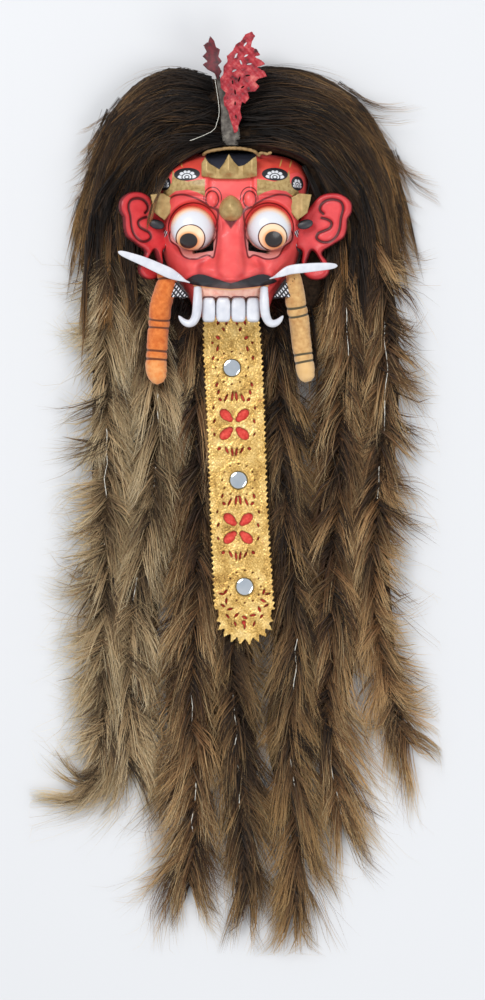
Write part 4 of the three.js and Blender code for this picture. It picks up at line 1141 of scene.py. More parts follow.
def flow_at(flow, r, s):
    """Place on the field of runs: r from the face (0) to the edge (1), s along the run."""
    lines = np.array(flow, float)
    across = along(lines.reshape(len(lines), -1), np.clip(r, 0, 1) * (len(lines) - 1))
    across = across.reshape(-1, lines.shape[1], 2)
    k = np.clip(s, 0, 1.08) * (lines.shape[1] - 1)
    i = np.clip(np.floor(k).astype(int), 0, lines.shape[1] - 2)
    f = (k - i)[:, None]
    rows = np.arange(len(r))

    def at(j):
        return across[rows, np.clip(j, 0, lines.shape[1] - 1)]

    a, b, d, e = at(i - 1), at(i), at(i + 1), at(i + 2)
    return b + 0.5 * f * (d - a + f * (2 * a - 5 * b + 4 * d - e + f * (3 * (b - d) + e - a)))


def comb_hood(seed):
    rng = np.random.default_rng(seed)
    lots = []
    for flow, way_out, locks, floor in (
        (FLOW_LOW_RIGHT, 0, 60, 34), (FLOW_LOW_LEFT, 0, 60, 34), (FLOW_CHIN_RIGHT, 0, 42, 30),
        (FLOW_CHIN_LEFT, 0, 42, 30), (FLOW_RIGHT, 1, 175, 0), (FLOW_LEFT, -1, 175, 0),
        (FLOW_FRINGE, -1, 20, 0),
    ):
        each, steps = 15, 5 if way_out else 4
        many = locks * each
        lock = np.repeat(np.arange(locks), each)
        r0 = rng.uniform(-0.04, 0.98, locks)
        s0 = rng.uniform(0, 0.78, locks) ** 1.25
        span = rng.uniform(0.34, 0.62, locks) + 0.14 * (r0 > 0.6)
        drift = rng.normal(0.02, 0.09, locks)
        layer, tone = rng.uniform(0.78, 1.02, locks), rng.normal(0.2, 0.22, locks)
        tone = tone + 0.5 * s0 + 0.1 * r0
        wave, phase = rng.normal(0, 0.035, locks), rng.uniform(0, TAU, locks)
        shift = rng.normal(0, 0.034, many)
        start = np.clip(s0[lock] + rng.normal(0, 0.03, many), 0, 0.95)
        long = span[lock] * rng.uniform(0.75, 1.1, many)
        bow = rng.normal(0, 0.02, many)
        points = np.empty((many, steps, 3))
        for k, v in enumerate(np.linspace(0, 1, steps)):
            r = r0[lock] + drift[lock] * v + shift * (1 - 0.7 * v) + bow * np.sin(np.pi * v)
            r = r + wave[lock] * np.sin(5 * v + phase[lock])
            flat = flow_at(flow, r, start + long * v)
            over = np.maximum(start + long * v - 1.08, 0)[:, None]
            flat = flat + over * np.array([[way_out * 50, -210]])
            points[:, k, :2] = flat
            roof, _ = hood_roof(flat[:, 0], flat[:, 1])
            lift = layer[lock] * (1 + 0.05 * np.sin(np.pi * v)) + 0.05
            roof = np.maximum(roof, floor * (1 - 0.25 * v))
            points[:, k, 2] = roof * lift + rng.normal(0, 0.5, many)
        # hair over the brow and the left ear lies on the face
        far = np.hypot(points[..., 0], points[..., 1] - 8)
        face = 92 - 42 * smooth(84, 108, far)
        points[..., 2] = np.where(far < 104, np.maximum(points[..., 2], face), points[..., 2])
        shade = np.clip(tone[lock] + rng.normal(0, 0.14, many), 0.02, 0.98)
        thick = rng.uniform(*HOOD_STRAND, many)
        if flow is FLOW_FRINGE:
            thick = thick * 0.55
        else:
            # wide strands, darker and lower than the rest: painted shade under each lock
            broad = np.arange(many) % each < 2
            thick[broad] = rng.uniform(*HOOD_SHADE_FILLER, broad.sum())
            shade[broad] = np.clip(shade[broad] - 0.2, 0.02, 0.98)
            points[broad, :, 2] -= 2.5
        lots.append(strands(points, thick, shade))
        # single hairs that stray from the run and fly off its end
        if not way_out or flow is FLOW_FRINGE:
            continue
        few = STRAYS
        r, s = rng.uniform(0.2, 1, few), rng.uniform(0, 0.75, few)
        leave = rng.uniform(-6, 22, few)
        points = np.empty((few, 6, 3))
        for k, v in enumerate(np.linspace(0, 1, 6)):
            flat = flow_at(flow, r, s + 0.4 * v)
            points[:, k, :2] = flat + unit(flat - [0, 20]) * (leave * v**1.7)[:, None]
            roof, _ = hood_roof(points[:, k, 0], points[:, k, 1])
            points[:, k, 2] = roof * 1.04 + 1.5
        lots.append(strands(points, rng.uniform(*STRAY, few), rng.uniform(0.35, 0.95, few)))
        # wisps that leave the edge and curl away from it
        wisps, each = 22, 15
        wisp = np.repeat(np.arange(wisps), each)
        r, s = rng.uniform(0.6, 1, wisps), rng.uniform(0.42, 0.98, wisps)
        root = flow_at(flow, r, s)
        ahead, away = unit(flow_at(flow, r, s + 0.1) - root), unit(root - [0, 20])
        reach, curl = rng.uniform(50, 110, wisps), rng.uniform(0, 0.6, wisps) ** 1.3
        grown = (reach[wisp] * rng.uniform(0.7, 1.1, wisps * each))[:, None]
        apart = rng.normal(0, 3.4, (wisps * each, 1))
        points = np.empty((wisps * each, 5, 3))
        for k, v in enumerate(np.linspace(0, 1, 5)):
            out = curl[wisp][:, None] * v**1.8 * grown + apart * (1 - 0.8 * v) + 3
            points[:, k, :2] = root[wisp] + ahead[wisp] * grown * v * (1 - 0.25 * v) + away[wisp] * out
            roof, _ = hood_roof(root[wisp, 0], root[wisp, 1])
            points[:, k, 2] = roof * (1.02 - 0.5 * v) + rng.normal(0, 0.6, wisps * each)
        lots.append(strands(points, rng.uniform(*WISP, wisps * each),
                            np.clip(rng.normal(0.68, 0.2, wisps * each), 0.05, 0.98)))
    points, faces, uv = bundle(lots)
    keep_in(points)
    piece = make_piece("hood_hair", points, faces, [HOOD_HAIR], "dark_fur", uv=uv)
    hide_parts("hood")


def hood_hide():
    """Hide under the fur: a ring round the face, lower than the hair all over."""
    angle = np.linspace(0, TAU, 121)[:-1]
    inner, outer = reach_of(RIM, angle) + 3, reach_of(HOOD_EDGE, angle) - 9
    rings = []
    for a, near, far in zip(angle, inner, outer):
        ring = []
        for u, share in ((0, 0.02), (0, 0.8), (0.12, 0.86), (0.35, 0.86), (0.6, 0.86), (0.85, 0.8),
                         (1, 0.6), (1, 0.02)):
            d = near + (far - near) * u
            x, y = d * np.cos(a), d * np.sin(a)
            ring.append((x, y, max(0.3, share * float(hood_roof(x, y)[0]))))
        rings.append(ring)
    rings = np.array(rings)
    count, sides = rings.shape[:2]
    r, c = np.meshgrid(np.arange(count), np.arange(sides), indexing="ij")
    a, b = r * sides + c, r * sides + (c + 1) % sides
    up = ((r + 1) % count) * sides
    quads = np.stack([a, up + c, up + (c + 1) % sides, b], axis=-1).reshape(-1, 4)
    points, faces = outward(rings.reshape(-1, 3), [quads])
    # the hide takes the dark under-hair colour: painted shade under the fur
    make_piece("hood_hide", points, faces, [SHADED_UNDER_HAIR.material], "dark_fur")


comb_hood(41)
hood_hide()


# ------------------------------------------------------------------ ears and tusks
EAR_OUTLINE = [
    (78, 2), (84, 22), (97, 37), (107, 48), (120, 52), (134, 50), (145, 41), (146, 29), (141, 20),
    (140, 8), (136, -2), (122, -11), (110, -20), (117, -31), (119, -43), (111, -51), (98, -52),
    (88, -45), (85.5, -32), (86, -18), (78, -12),
]
EAR_HOLE = [(98.4, -17), (94.2, -24), (92, -36), (109, -36), (106, -26)]
# Groove of the ear: down its front, round the bowl and back up inside the fold.
EAR_GROOVE = [
    (112, 27), (108, 31), (109, 37), (115, 42.5), (124, 44), (133, 41), (136, 33), (133.5, 22),
    (132, 10), (128, 0), (120, -6.5), (111, -7), (104, -2.5), (106, 3.5), (113, 6.5), (120, 10), (122, 16),
    (117, 20), (110, 22),
]
EAR_ROOT, EAR_BACK, EAR_THICK = 80.0, 36.0, 7.0
TUSKS = {
    "tusk_left": [(-49, -58, 0.6), (-55, -55.4, 1.7), (-63, -51, 4.3), (-73, -46, 6.3), (-84, -41, 6.3),
                  (-106, -31.3, 5.4), (-134.8, -20.6, 3.2)],
    "tusk_right": [(46, -53.6, 0.6), (52.8, -50.6, 1.7), (61, -46.2, 4.1), (71, -42, 5.5), (90, -39.8, 5.5),
                   (110, -38.2, 4.6), (127.2, -37.2, 3.3)],
}


def build_ear(name, side, tilt):
    outline = even(EAR_OUTLINE, 150, closed=True)
    hole = even(EAR_HOLE, 60, closed=True)
    groove = even(EAR_GROOVE, 120)

    def shape(p):
        return np.maximum(to_outline(p, outline), -to_outline(p, hole))

    def bowl(p):
        return to_outline(p, groove, closed=False)

    def front(p):
        edge = np.clip(-shape(p) / 3.2, 0, 1)
        z = EAR_THICK - 2.6 * (1 - edge) ** 2
        z = z + 0.8 * bump((to_outline(p, outline) + 5) / 3)
        z = z - 1.9 * bump(bowl(p) / 1.7)
        lobe = np.hypot((p[:, 0] - 101) / 1.6, p[:, 1] + 40)
        return z - 0.8 * bump(lobe / 6)

    points, faces = cut_sheet(shape, (76, -54), (148, 54), 1.15, front, lambda p: np.full(len(p), 0.4))
    flat = points[:, :2]
    values = {"groove": bowl(flat), "rim": shape(flat), "hole": to_outline(flat, hole)}
    u, w = points[:, 0] - EAR_ROOT, points[:, 2]
    turn = np.radians(tilt)
    placed = np.stack([side * (u * np.cos(turn) - w * np.sin(turn) + EAR_ROOT), points[:, 1],
                       u * np.sin(turn) + w * np.cos(turn) + EAR_BACK], axis=1)
    placed, faces = outward(placed, faces)
    piece = make_piece(name, placed, faces, [EAR_PAINT], "ear_paint", values=values)
    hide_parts("ear_left" if side < 0 else "ear_right")


def ear_paint():
    paint = Paint("painted_ear", roughness=0.42, specular=0.4, coat=0.05)
    colour = paint.ramp(paint.noise(70, 5), (0.3, tint(206, 48, 54)), (0.7, tint(228, 70, 72)))
    groove = paint.value("groove")
    # darker beside the groove: partly the ear's airbrushed paint, partly painted shade in its fold
    colour = paint.over(paint.sum("MULTIPLY", paint.step(groove, 0.5, 5.5, rise=0.0), 0.55), colour,
                        tint(150, 26, 34))
    colour = paint.over(paint.step(groove, 1.1, 2.1, rise=0.0), colour, tint(84, 16, 20))
    hole = paint.value("hole")
    colour = paint.over(ring(paint, paint.sum("SUBTRACT", hole, 1.6), 0.8), colour, tint(110, 20, 26))
    rim = paint.value("rim")
    # darker towards the outline and round the hole: partly airbrushed paint, partly painted shade at the
    # edges
    shade = paint.sum("MAXIMUM", paint.step(rim, -8, 0), paint.step(hole, 0, 6, rise=0.0))
    colour = paint.over(paint.sum("MULTIPLY", shade, 0.5), colour, tint(138, 22, 30))
    colour = paint.over(paint.step(rim, -1.6, -0.4), colour, tint(112, 18, 26))
    return paint.colour(colour).relief(paint.noise(700, 2), 0.12, 0.5).material


EAR_PAINT = ear_paint()
build_ear("ear_carving_left", -1, 35)
build_ear("ear_carving_right", 1, 8)


def build_tusk(name):
    path = even(TUSKS[name], 50)
    run = np.linspace(0, 1, 50)
    ahead = unit(np.gradient(path[:, :2], axis=0))
    angle = np.linspace(0, TAU, 28, endpoint=False)
    c, s = np.cos(angle), np.sin(angle)
    tall, thick = np.sign(c) * np.abs(c) ** 0.7, np.sign(s) * np.abs(s) ** 0.6
    half = path[:, 2] * np.sqrt(np.clip(1 - run**24, 0.02, 1))
    rise = np.where(run < 0.16, 78, 74 + 4 * run) + 10 * (1 - smooth(0, 0.14, run))
    deep = 2.6 * (1 - 0.4 * run)
    rings = np.stack([
        path[:, :1] - ahead[:, 1:] * half[:, None] * tall,
        path[:, 1:2] + ahead[:, :1] * half[:, None] * tall,
        rise[:, None] + deep[:, None] * thick,
    ], axis=-1)
    points, faces = loft(rings)
    piece = make_piece(name.replace("tusk", "tusk_carving"), points, faces, [IVORY], "tusk_paint")
    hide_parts(name)


for name in TUSKS:
    build_tusk(name)


# ------------------------------------------------------------------ gilded tongue
TONGUE_STATIONS = [
    (-84, -30, 30, 57), (-100, -32, 33, 52), (-114, -33, 35, 46), (-128, -33, 36, 40.6),
    (-142, -33, 37, 36.6), (-156, -32, 38, 36.6), (-240, -28, 41, 36.6), (-330, -25, 44, 36.6),
    (-420, -21, 50, 36.6), (-462, -20, 52, 36.6), (-492, -18, 52, 36.6),
]
FELT_THICK, TONGUE_THICK, TONGUE_GAP = 2.4, 2.2, 0.35
MIRRORS = {"mirror_top": (1.1, -158), "mirror_middle": (8.9, -293), "mirror_bottom": (16.4, -421)}


def tongue_at(y):
    """Left edge, right edge and height of the tongue at Y."""
    rows = np.array(TONGUE_STATIONS, float)
    fine = along(rows, np.linspace(0, len(rows) - 1, 400))
    order = np.argsort(fine[:, 0])
    return [np.interp(y, fine[order, 0], fine[order, k]) for k in (1, 2, 3)]


def tongue_openings():
    """Openwork between the mirrors: flowers, leaf veins, scrolls and rows of dots."""
    cuts = []
    for y in (-226, -351):
        left, right, _ = tongue_at(y)
        cx = (left + right) / 2 - 2
        for sx in (-1, 1):
            for sy in (-1, 1):
                cuts.append((cx + sx * 10.5, y + sy * 11.5, 8.2, 5.6, sx * sy * 0.75))
                cuts.append((cx + sx * 6.0, y + sy * 7.0, 4.6, 3.6, sx * sy * 0.6))
        for k in (-1, 1):
            cuts.append((cx + 2.5 * k, y + 34, 1.3, 5.2, 0.12 * k))
            cuts.append((cx + 10 * k, y + 32, 1.2, 4.6, 0.4 * k))
            cuts.append((cx + 2.5 * k, y - 33, 1.2, 4.8, -0.12 * k))
            cuts.append((cx + 9 * k, y - 31, 1.1, 4.2, -0.45 * k))
            cuts.append((cx + 17 * k, y + 30, 2.4, 1.5, 0.7 * k))
            cuts.append((cx + 19 * k, y + 39, 1.2, 2.8, 0.3 * k))
            cuts.append((cx + 18 * k, y - 29, 2.2, 1.6, -0.7 * k))
            cuts.append((cx + 24 * k, y + 4, 1.1, 2.4, 0.4 * k))
            cuts.append((cx + 24 * k, y - 12, 1.0, 2.0, -0.4 * k))
            cuts.append((cx + 25 * k, y + 20, 0.9, 1.8, 0.2 * k))
    # above the first mirror and round each mirror
    for k in (-1, 1):
        for x, y, long, wide, turn in (
            (17, -122, 2.6, 1.8, 0.6), (18, -135, 1.2, 3.2, 0.2), (10, -112, 2.2, 1.2, 1.0),
            (16, -104, 1.4, 2.6, 0.4), (24, -128, 1.3, 1.3, 0), (24, -146, 1.2, 2.2, 0.2),
            (6, -104, 1.2, 2.8, 0.3), (21, -178, 1.3, 2.6, 0.3),
        ):
            left, right, _ = tongue_at(y)
            cuts.append(((left + right) / 2 + x * k, y, long, wide, turn * k))
    for cx, cy in MIRRORS.values():
        for a in np.arange(12) * TAU / 12:
            cuts.append((cx + 19.5 * np.sin(a), cy + 19.5 * np.cos(a), 1.1, 0.8, a))
    # fan of crescents below the last mirror
    cx, cy = MIRRORS["mirror_bottom"]
    for k, a in enumerate(np.linspace(-1.35, 1.35, 9)):
        far = 30 + 7 * np.cos(a * 1.3)
        tilt = 0.5 if k % 2 else -0.5
        cuts.append((cx + far * np.sin(a) * 0.82, cy - far * np.cos(a), 3.4, 1.3, tilt - a))
        far = far + 11
        cuts.append((cx + far * np.sin(a) * 0.72, cy - far * np.cos(a), 3.0, 1.1, np.pi / 2 - a))
    cuts.append((cx - 1, cy - 43, 2.4, 2.4, 0))
    return petals(cuts)


OPENINGS = tongue_openings()


def tongue_shape(p):
    """Serrated strip ending in a fringe of points, less its openings."""
    x, y = p[:, 0], p[:, 1]
    left, right, _ = tongue_at(y)

    def teeth(run):
        saw = run % 1.0
        return 3.4 * np.clip(np.minimum(saw / 0.72, (1 - saw) / 0.28), 0, 1) ** 0.9 - 1.6

    sides = np.maximum(left - teeth(y / 6.4) - x, x - right - teeth((y + 2.2) / 6.6))
    # the foot is round, with points standing out of it
    cx, cy = 16.5, -449.0
    bearing = np.arctan2(x - cx, -(y - cy))
    beat = np.abs(((bearing / 0.27) % 1.0) - 0.5) * 2
    point = 9.5 * (1 - beat) ** 0.8 * smooth(1.6, 0.9, np.abs(bearing))
    foot = np.hypot((x - cx) / 0.94, y - cy) - 33.5 - point
    foot = np.where(y < cy, foot, -50.0)
    sides = np.where(y < cy, -50.0, sides)
    return np.maximum.reduce([sides, foot, y + 84.5, -OPENINGS(p)])


def tongue_top(p):
    x, y = p[:, 0], p[:, 1]
    left, right, z = tongue_at(y)
    base = z + FELT_THICK + TONGUE_GAP + TONGUE_THICK
    chased = 0.5 * bump((OPENINGS(p) - 1.4) / 1.0)
    veins = 0.28 * np.sin(x * 1.55 + 1.3 * np.sin(y * 0.35)) * np.sin(y * 1.25 + 1.1 * np.sin(x * 0.3))
    edge = np.minimum(x - left, right - x)
    border = 0.55 * bump((edge - 6) / 1.1)
    rosette = 0.0
    for cx, cy in MIRRORS.values():
        far = np.hypot(x - cx, y - cy)
        ray = np.cos(np.arctan2(y - cy, x - cx) * 18)
        rosette = rosette + 0.5 * bump((far - 15) / 2.4) * (0.6 + 0.4 * ray) + 0.5 * bump((far - 21.5) / 0.9)
        veins = veins * smooth(10, 13, far)
    wavy = 0.7 * np.sin(y / 19.0) * np.sin((x - left) / 9.0)
    return base + chased + veins + border + rosette + np.maximum(wavy, -0.3)


def gold_leather():
    paint = Paint("gilded_leather", roughness=0.36, metallic=0.72, specular=0.5)
    worn, fine = paint.noise(55, 6), paint.noise(520, 4)
    share = paint.sum("ADD", paint.sum("MULTIPLY", worn, 0.55), paint.sum("MULTIPLY", fine, 0.45))
    colour = paint.ramp(share, (0.32, tint(130, 94, 44)), (0.45, tint(196, 156, 84)),
                        (0.57, tint(226, 190, 118)), (0.72, tint(240, 214, 152)))
    edge = paint.step(paint.value("opening"), 0.0, 1.1, rise=0.0)
    colour = paint.over(paint.sum("MULTIPLY", edge, 0.6), colour, tint(112, 74, 32))
    chips = paint.step(paint.noise(130, 5), 0.66, 0.72)
    colour = paint.over(paint.sum("MULTIPLY", chips, 0.5), colour, tint(196, 128, 84))
    stamp = paint.nodes.new("ShaderNodeTexVoronoi")
    stamp.inputs["Scale"].default_value = 360
    paint.put(stamp.inputs["Vector"], paint.place())
    height = paint.sum("ADD", stamp.outputs["Distance"], paint.sum("MULTIPLY", fine, 0.8))
    return paint.colour(colour).relief(height, 0.5, 0.8).material


def build_tongue():
    def under(p):
        return tongue_at(p[:, 1])[2] + FELT_THICK + TONGUE_GAP

    points, faces = cut_sheet(tongue_shape, (-38, -496), (58, -83), 1.22, tongue_top, under)
    values = {"opening": OPENINGS(points[:, :2])}
    piece = make_piece("tongue_openwork", points, faces, [gold_leather()], "gilded_leather", values=values)
    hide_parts("tongue")
    # felt lining, laid flat under the openwork
    y = np.linspace(-85, -478, 120)
    left, right, z = tongue_at(y)
    narrow = 5 + 22 * smooth(-455, -480, y)
    sheets = []
    for k in range(120):
        x = np.linspace(left[k] + narrow[k], right[k] - narrow[k], 9)
        lower = np.stack([x, np.full(9, y[k]), np.full(9, z[k] + 0.9)], axis=1)
        upper = np.stack([x, np.full(9, y[k]), np.full(9, z[k] + FELT_THICK)], axis=1)
        sheets.append(np.concatenate([lower, upper[::-1]]))
    points, faces = loft(np.array(sheets))
    felt = Paint("red_felt", roughness=0.95, specular=0.1, sheen=0.3)
    felt.colour(felt.ramp(felt.noise(300, 5), (0.3, tint(196, 52, 46)), (0.7, tint(232, 92, 80))))
    felt.relief(felt.noise(1500, 2), 0.4, 0.8)
    lining = make_piece("felt_lining", points, faces, [felt.material], "red_felt")
    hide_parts("tongue_lining")
    run = np.hypot(np.diff(y), np.diff(z))
    wide = right - left - 2 * narrow
    area = float((run * (wide[1:] + wide[:-1]) / 2).sum()) / 1e6
    flat = (float(wide.max()) / 1000, float(run.sum()) / 1000)


def build_mirrors():
    glass = Paint("mirror_glass", roughness=0.06, metallic=1.0)
    glass.colour(glass.ramp(glass.noise(40, 3), (0.3, tint(206, 216, 226)), (0.7, tint(236, 241, 246))))
    brass = plain_paint("mirror_rim", tint(92, 78, 48), tint(150, 128, 78), 300, 0.4, 0.8)
    lie = TONGUE_STATIONS[-1][3] + FELT_THICK + TONGUE_GAP + TONGUE_THICK
    for name, (cx, cy) in MIRRORS.items():
        def circle(radius, z):
            return np.stack([cx + radius * np.cos(a), cy + radius * np.sin(a), np.full(64, z)], axis=1)

        a = np.linspace(0, TAU, 64, endpoint=False)
        disc = [circle(radius, z) for radius, z in (
            (10.2, lie), (10.2, lie + 1.2), (9.6, lie + 1.5), (6, lie + 1.9), (0.3, lie + 2.0)
        )]
        band = [circle(10.6 + 0.75 * np.cos(b), lie + 0.9 + 0.95 * np.sin(b))
                for b in np.linspace(0, TAU, 10, endpoint=False)]
        band = np.array(band)
        count, sides = band.shape[:2]
        r, c = np.meshgrid(np.arange(count), np.arange(sides), indexing="ij")
        i, j = r * sides + c, r * sides + (c + 1) % sides
        k, m = ((r + 1) % count) * sides + (c + 1) % sides, ((r + 1) % count) * sides + c
        hoop = outward(band.reshape(-1, 3), [np.stack([i, j, k, m], axis=-1).reshape(-1, 4)])
        at, faces, part = joined([loft(np.array(disc)), hoop])
        piece = make_piece(name + "_glass", at, faces, [glass.material, brass], "mirror_glass", which=part)
        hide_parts(name)


build_tongue()
build_mirrors()


# ------------------------------------------------------------------ pendants
PENDANTS = {
    "pendant_left": dict(
        stations=[(-44, -78, 10.6, 56), (-56, -77, 12.4, 57), (-70, -80, 13.2, 54), (-85, -84.5, 13.0, 51),
                  (-104, -86.5, 13.2, 47.5), (-118, -87.5, 12.6, 47), (-138, -89, 12.8, 47),
                  (-152, -90, 13, 47), (-164, -88.5, 12.3, 47), (-172, -86.5, 9.4, 47),
                  (-176.6, -84.6, 4, 47)],
        bands=[-52, -100, -110, -138, -148], line=tint(112, 60, 34), slot="orange_cloth",
        low=tint(198, 98, 40), high=tint(230, 134, 66), tip=tint(236, 170, 106)),
    "pendant_right": dict(
        stations=[(-46, 74, 8.4, 58), (-58, 75.5, 10.4, 57.5), (-70, 77, 11.8, 55), (-84, 78.5, 12.4, 52),
                  (-104, 82, 12.2, 47.8), (-120, 84, 11.8, 47), (-140, 86, 11.8, 47), (-154, 88.5, 11.4, 47),
                  (-164, 90.4, 10.8, 47), (-171, 91.8, 8.4, 47), (-174.6, 92.8, 3.6, 47)],
        bands=[-85, -95, -142, -151], line=tint(88, 78, 56), slot="tan_cloth",
        low=tint(190, 142, 88), high=tint(222, 180, 120), tip=tint(228, 188, 132)),
}


def build_pendant(name, form, seed):
    rng = np.random.default_rng(seed)
    path = even([(x, y, z, r) for y, x, r, z in form["stations"]], 120)
    centre, radius = path[:, :3], path[:, 3]
    y = centre[:, 1]
    tied = np.zeros(120)
    for band in form["bands"]:
        tied = tied + bump((y - band) / 2.2)
    sides = 44
    angle = np.linspace(0, TAU, sides, endpoint=False)
    fold = np.zeros((120, sides))
    for _ in range(16):
        at, turn = rng.uniform(-170, -48), rng.uniform(0, TAU)
        slant = rng.uniform(-4, 4)
        crease = bump((y[:, None] - at - slant * np.cos(angle - turn)) / rng.uniform(1.0, 2.4))
        fold -= rng.uniform(0.25, 0.7) * crease * (0.5 + 0.5 * np.cos(angle - turn)[None])
    fold += 0.35 * np.sin(3 * angle[None] + y[:, None] / 7)
    ahead = unit(np.gradient(centre, axis=0))
    side = unit(np.cross(ahead, [0.0, 0.0, 1.0]))
    lift = np.cross(side, ahead)
    size = (radius * (1 - 0.09 * tied))[:, None] + fold
    out = np.cos(angle)[:, None] * side[:, None] + np.sin(angle)[:, None] * lift[:, None]
    points, faces = loft(centre[:, None] + size[..., None] * out)
    lines = np.concatenate([np.repeat(tied, sides), [0, 0]])
    paint = Paint(name + "_cloth", roughness=0.92, specular=0.15, sheen=0.35)
    weave = paint.noise(180, 6)
    colour = paint.ramp(weave, (0.3, form["low"]), (0.7, form["high"]))
    _, place_y, _ = mask_place(paint)
    pale = paint.ramp(weave, (0.3, form["high"]), (0.7, form["tip"]))
    colour = paint.over(paint.step(place_y, -158, -140, rise=0.0), colour, pale)
    colour = paint.over(paint.step(paint.value("tied"), 0.55, 0.8), colour, form["line"])
    paint.colour(colour).relief(paint.sum("ADD", paint.noise(1400, 3), paint.noise(260, 4)), 0.7, 0.7)
    piece = make_piece(name + "_roll", points, faces, [paint.material], form["slot"], values={"tied": lines})
    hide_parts(name)


for order, (name, form) in enumerate(PENDANTS.items()):
    build_pendant(name, form, 71 + order)


# ------------------------------------------------------------------ crest
CREST_OUTLINE = [
    (4, 120), (2, 128), (-1, 137), (-3, 146), (-8, 154), (-9, 163), (-6, 169), (-12, 175), (-13, 186),
    (-9, 192), (-9, 201), (-4, 207), (-5, 214), (2, 220), (6, 228), (12, 232), (17, 240), (25, 243.5),
    (29, 238), (25, 231), (24, 225), (31, 222), (35, 215), (28, 213), (36, 209), (41, 204), (31, 200),
    (40, 195), (43, 189), (33, 186), (29, 182), (34, 177), (29, 171), (20, 170), (22, 163), (17, 156),
    (13, 158), (11, 148), (13, 139), (9, 130), (8, 122),
]
SIDE_LEAF = [
    (-16, 186), (-20, 194), (-28, 198), (-34, 204), (-28, 208), (-34, 214), (-29, 219), (-33, 227),
    (-27, 231), (-25, 238), (-20, 232), (-18, 225), (-13, 222), (-15, 214), (-11, 208),
    (-15, 203), (-11, 196),
]


def build_crest():
    rim = np.array(CREST_OUTLINE, float)
    holes = petals([
        (6, 214, 1.0, 3.4, -0.5), (12, 206, 1.0, 3.0, 0.4), (4, 196, 3.0, 1.0, 0.5),
        (18, 214, 2.6, 1.0, 0.6), (22, 204, 3.0, 1.0, 0.2), (10, 186, 1.0, 3.4, -0.3),
        (20, 190, 3.0, 1.0, 0.1), (2, 182, 1.0, 2.6, 0.2), (5, 170, 1.0, 3.0, 0.1),
        (14, 176, 2.4, 0.9, 0.6), (17, 228, 1.0, 3.0, -0.6), (5, 156, 0.9, 2.6, 0),
        (6, 140, 0.9, 2.6, 0.1),
    ])

    def shape(p):
        return np.maximum(to_outline(p, rim), -holes(p))

    def top(p):
        x, y = p[:, 0], p[:, 1]
        lie = 83 - 0.16 * (y - 139) + 1.6 * np.sin(y / 8) * np.sin(x / 7)
        return lie + 0.9 * np.exp(-np.abs(shape(p)) / 1.2) + 0.5 * np.sin(x * 0.9) * np.sin(y * 0.8)

    points, faces = cut_sheet(shape, (-15, 117), (46, 246), 0.9, top, lambda p: top(p) - 2.2)
    red = Paint("painted_crest", roughness=0.45, specular=0.4)
    worn = red.noise(110, 6)
    colour = red.ramp(worn, (0.3, tint(70, 14, 22)), (0.42, tint(140, 24, 36)), (0.56, tint(170, 40, 50)),
                      (0.7, tint(204, 104, 98)))
    red.colour(colour).relief(red.noise(420, 4), 0.8, 0.9)
    piece = make_piece("crest_openwork", points, faces, [red.material], "crest_paint")
    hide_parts("crest")
    rim_two = np.array(SIDE_LEAF, float)

    def top_two(p):
        y = p[:, 1]
        return 64 + 0.12 * (y - 190) + 1.5 * np.sin(y / 6) + 0.7 * np.exp(to_outline(p, rim_two) / 1.2)

    points, faces = cut_sheet(lambda p: to_outline(p, rim_two), (-36, 184), (-9, 240), 0.9, top_two,
                              lambda p: top_two(p) - 2.0)
    dark = plain_paint("dark_crest", tint(58, 16, 24), tint(116, 30, 40), 200, 0.5, 0, 0.6)
    piece = make_piece("crest_side_openwork", points, faces, [dark], "crest_dark")
    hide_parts("crest_side_leaf")


build_crest()


# ------------------------------------------------------------------ strings, parting and rim
def twine(path, radius, seed):
    """Twisted thread: a round line whose thickness beats along it."""
    rng = np.random.default_rng(seed)
    path = np.asarray(path, float)
    n = len(path)
    beat = 1 + 0.3 * np.sin(np.arange(n) * 2.1)
    path = path + rng.normal(0, 0.12, path.shape)
    return tube(path, radius * beat, 6)


def build_strings():
    threads = []
    for order, form in enumerate(TRESSES.values()):
        spine = even(form["spine"], 260)
        rng = np.random.default_rng(200 + order)
        run = np.linspace(0, 1, 260)
        for start, stop in form["string"]:
            part = spine[(run >= start) & (run <= stop)]
            share = run[(run >= start) & (run <= stop)]
            lift = HAIR_TOP * (1.02 - 0.62 * smooth(0.5, 1, share)) + 1.0
            wander = np.interp(share, np.linspace(0, 1, 40), rng.normal(0, 1.6, 40))
            dip = np.interp(share, np.linspace(0, 1, 60), rng.uniform(-10, 1.2, 60))
            path = np.stack([part[:, 0] + wander, part[:, 1], lift + dip], axis=1)
            threads.append(twine(path, 0.42, 300 + order))
    thread = even([(-21, 206, 58), (-19, 186, 66), (-16, 166, 74), (-14, 146, 80), (-17, 132, 83),
                   (-21, 124, 84), (-34, 117, 86), (-49, 111, 88)], 150)
    threads.append(twine(thread, 0.32, 320))
    at, faces, _ = joined(threads)
    make_piece("strings", at, faces, [STRING.material], "fair_hair")


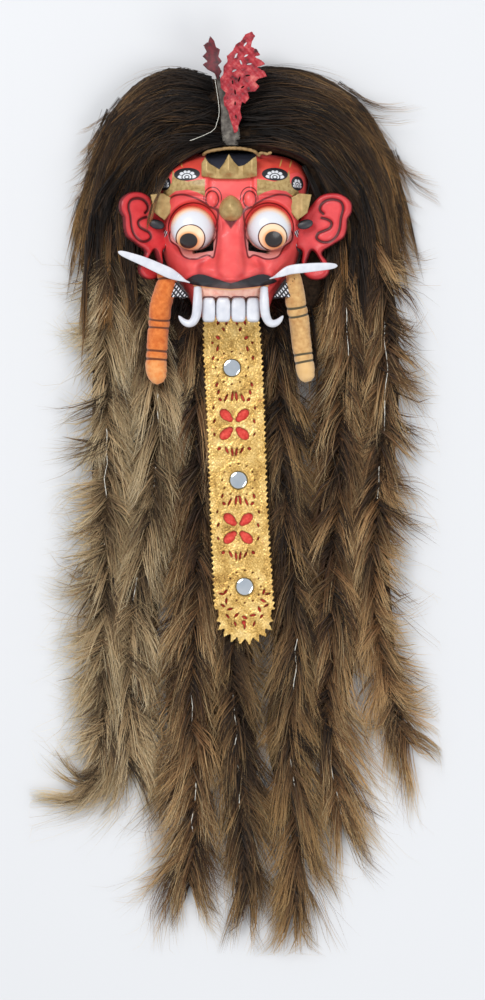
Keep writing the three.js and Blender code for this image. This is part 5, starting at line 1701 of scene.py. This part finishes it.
def build_parting():
    """Bare hide between the two sides of the hair."""
    rows = even([(0, 107, 9, 72), (0, 118, 11, 74), (-2, 134, 10, 74), (-5, 152, 7, 71), (-11, 172, 4, 65),
                 (-17, 196, 2, 52)], 60)
    angle = np.linspace(0, TAU, 24, endpoint=False)
    rings = np.stack([rows[:, :1] + rows[:, 2:3] * np.cos(angle), np.repeat(rows[:, 1:2], 24, 1),
                      rows[:, 3:4] - 2 + 2.4 * np.sin(angle)], axis=-1)
    points, faces = loft(rings)
    hide = Paint("bare_hide", roughness=0.85)
    hide.colour(hide.ramp(hide.noise(160, 6), (0.3, tint(58, 52, 47)), (0.5, tint(92, 87, 81)),
                          (0.7, tint(128, 122, 113))))
    hide.relief(hide.noise(500, 4), 0.8, 0.9)
    make_piece("parting_hide", points, faces, [hide.material], "dark_fur")
    roll = even([(-33, 96, 66), (-27, 99.5, 72), (-12, 102, 76), (0, 103, 77), (14, 102.5, 76),
                 (27, 100, 72), (34, 95, 66)], 80)
    beat = 2.0 + 0.16 * np.sin(np.arange(80) * 0.9)
    bits = [tube(roll, beat, 12)]
    for x, y, long, turn in ((36, 97, 7, 0.2), (41, 96.4, 8, -0.3), (46, 97, 6, 0.35)):
        a = np.linspace(-1, 1, 9)[:, None]
        line = np.array([x, y, 79.0]) + a * long / 2 * np.array([np.cos(turn), np.sin(turn), 0.2])
        bits.append(tube(line, 1.9 * np.sqrt(1.02 - a[:, 0] ** 2), 10))
    at, faces, _ = joined(bits)
    leather = plain_paint("edge_leather", tint(120, 92, 56), tint(176, 142, 92), 240, 0.6, 0, 0.4)
    make_piece("edge_roll", at, faces, [leather], "painted_wood")


build_strings()
build_parting()


# ------------------------------------------------------------------ stage
def soft_light(name, place, aim, size, power, colour=(1.0, 1.0, 1.0)):
    light = bpy.data.lights.new(name, "AREA")
    light.shape, light.size, light.energy, light.color = "DISK", size, power, colour
    lamp = bpy.data.objects.new(name, light)
    lamp.location = place
    heading = np.array(aim) - np.array(place)
    lamp.rotation_mode = "QUATERNION"
    lamp.rotation_quaternion = Vector(heading).to_track_quat("-Z", "Y")
    bpy.context.scene.collection.objects.link(lamp)


FLOOR = Paint("pale_floor", roughness=0.9, specular=0.1)
FLOOR.colour(tint(217, 218, 220))
floor_mesh = bpy.data.meshes.new("floor")
floor_mesh.from_pydata([(-15, -15, 0), (15, -15, 0), (15, 15, 0), (-15, 15, 0)], [], [(0, 1, 2, 3)])
floor_mesh.materials.append(FLOOR.material)
floor = bpy.data.objects.new("floor", floor_mesh)
floor.location.z = -0.0005
bpy.context.scene.collection.objects.link(floor)

soft_light("key", (-1.6, 2.0, 3.6), (0, 0.1, 0), 2.2, 104)
soft_light("fill", (2.0, -1.2, 2.8), (0, 0, 0), 2.2, 40)

camera_data = bpy.data.cameras.new("camera")
camera_data.lens, camera_data.sensor_width = 150, 36
camera_data.clip_end = 30
camera = bpy.data.objects.new("camera", camera_data)
camera.location = (0.0086, -0.0064, 5.05)
bpy.context.scene.collection.objects.link(camera)
scene = bpy.context.scene
scene.camera = camera
scene.view_settings.view_transform = "Standard"
world = bpy.data.worlds.new("room")
world.use_nodes = True
world.node_tree.nodes["Background"].inputs[0].default_value = (0.95, 0.97, 1.0, 1)
world.node_tree.nodes["Background"].inputs[1].default_value = 0.68
scene.world = world
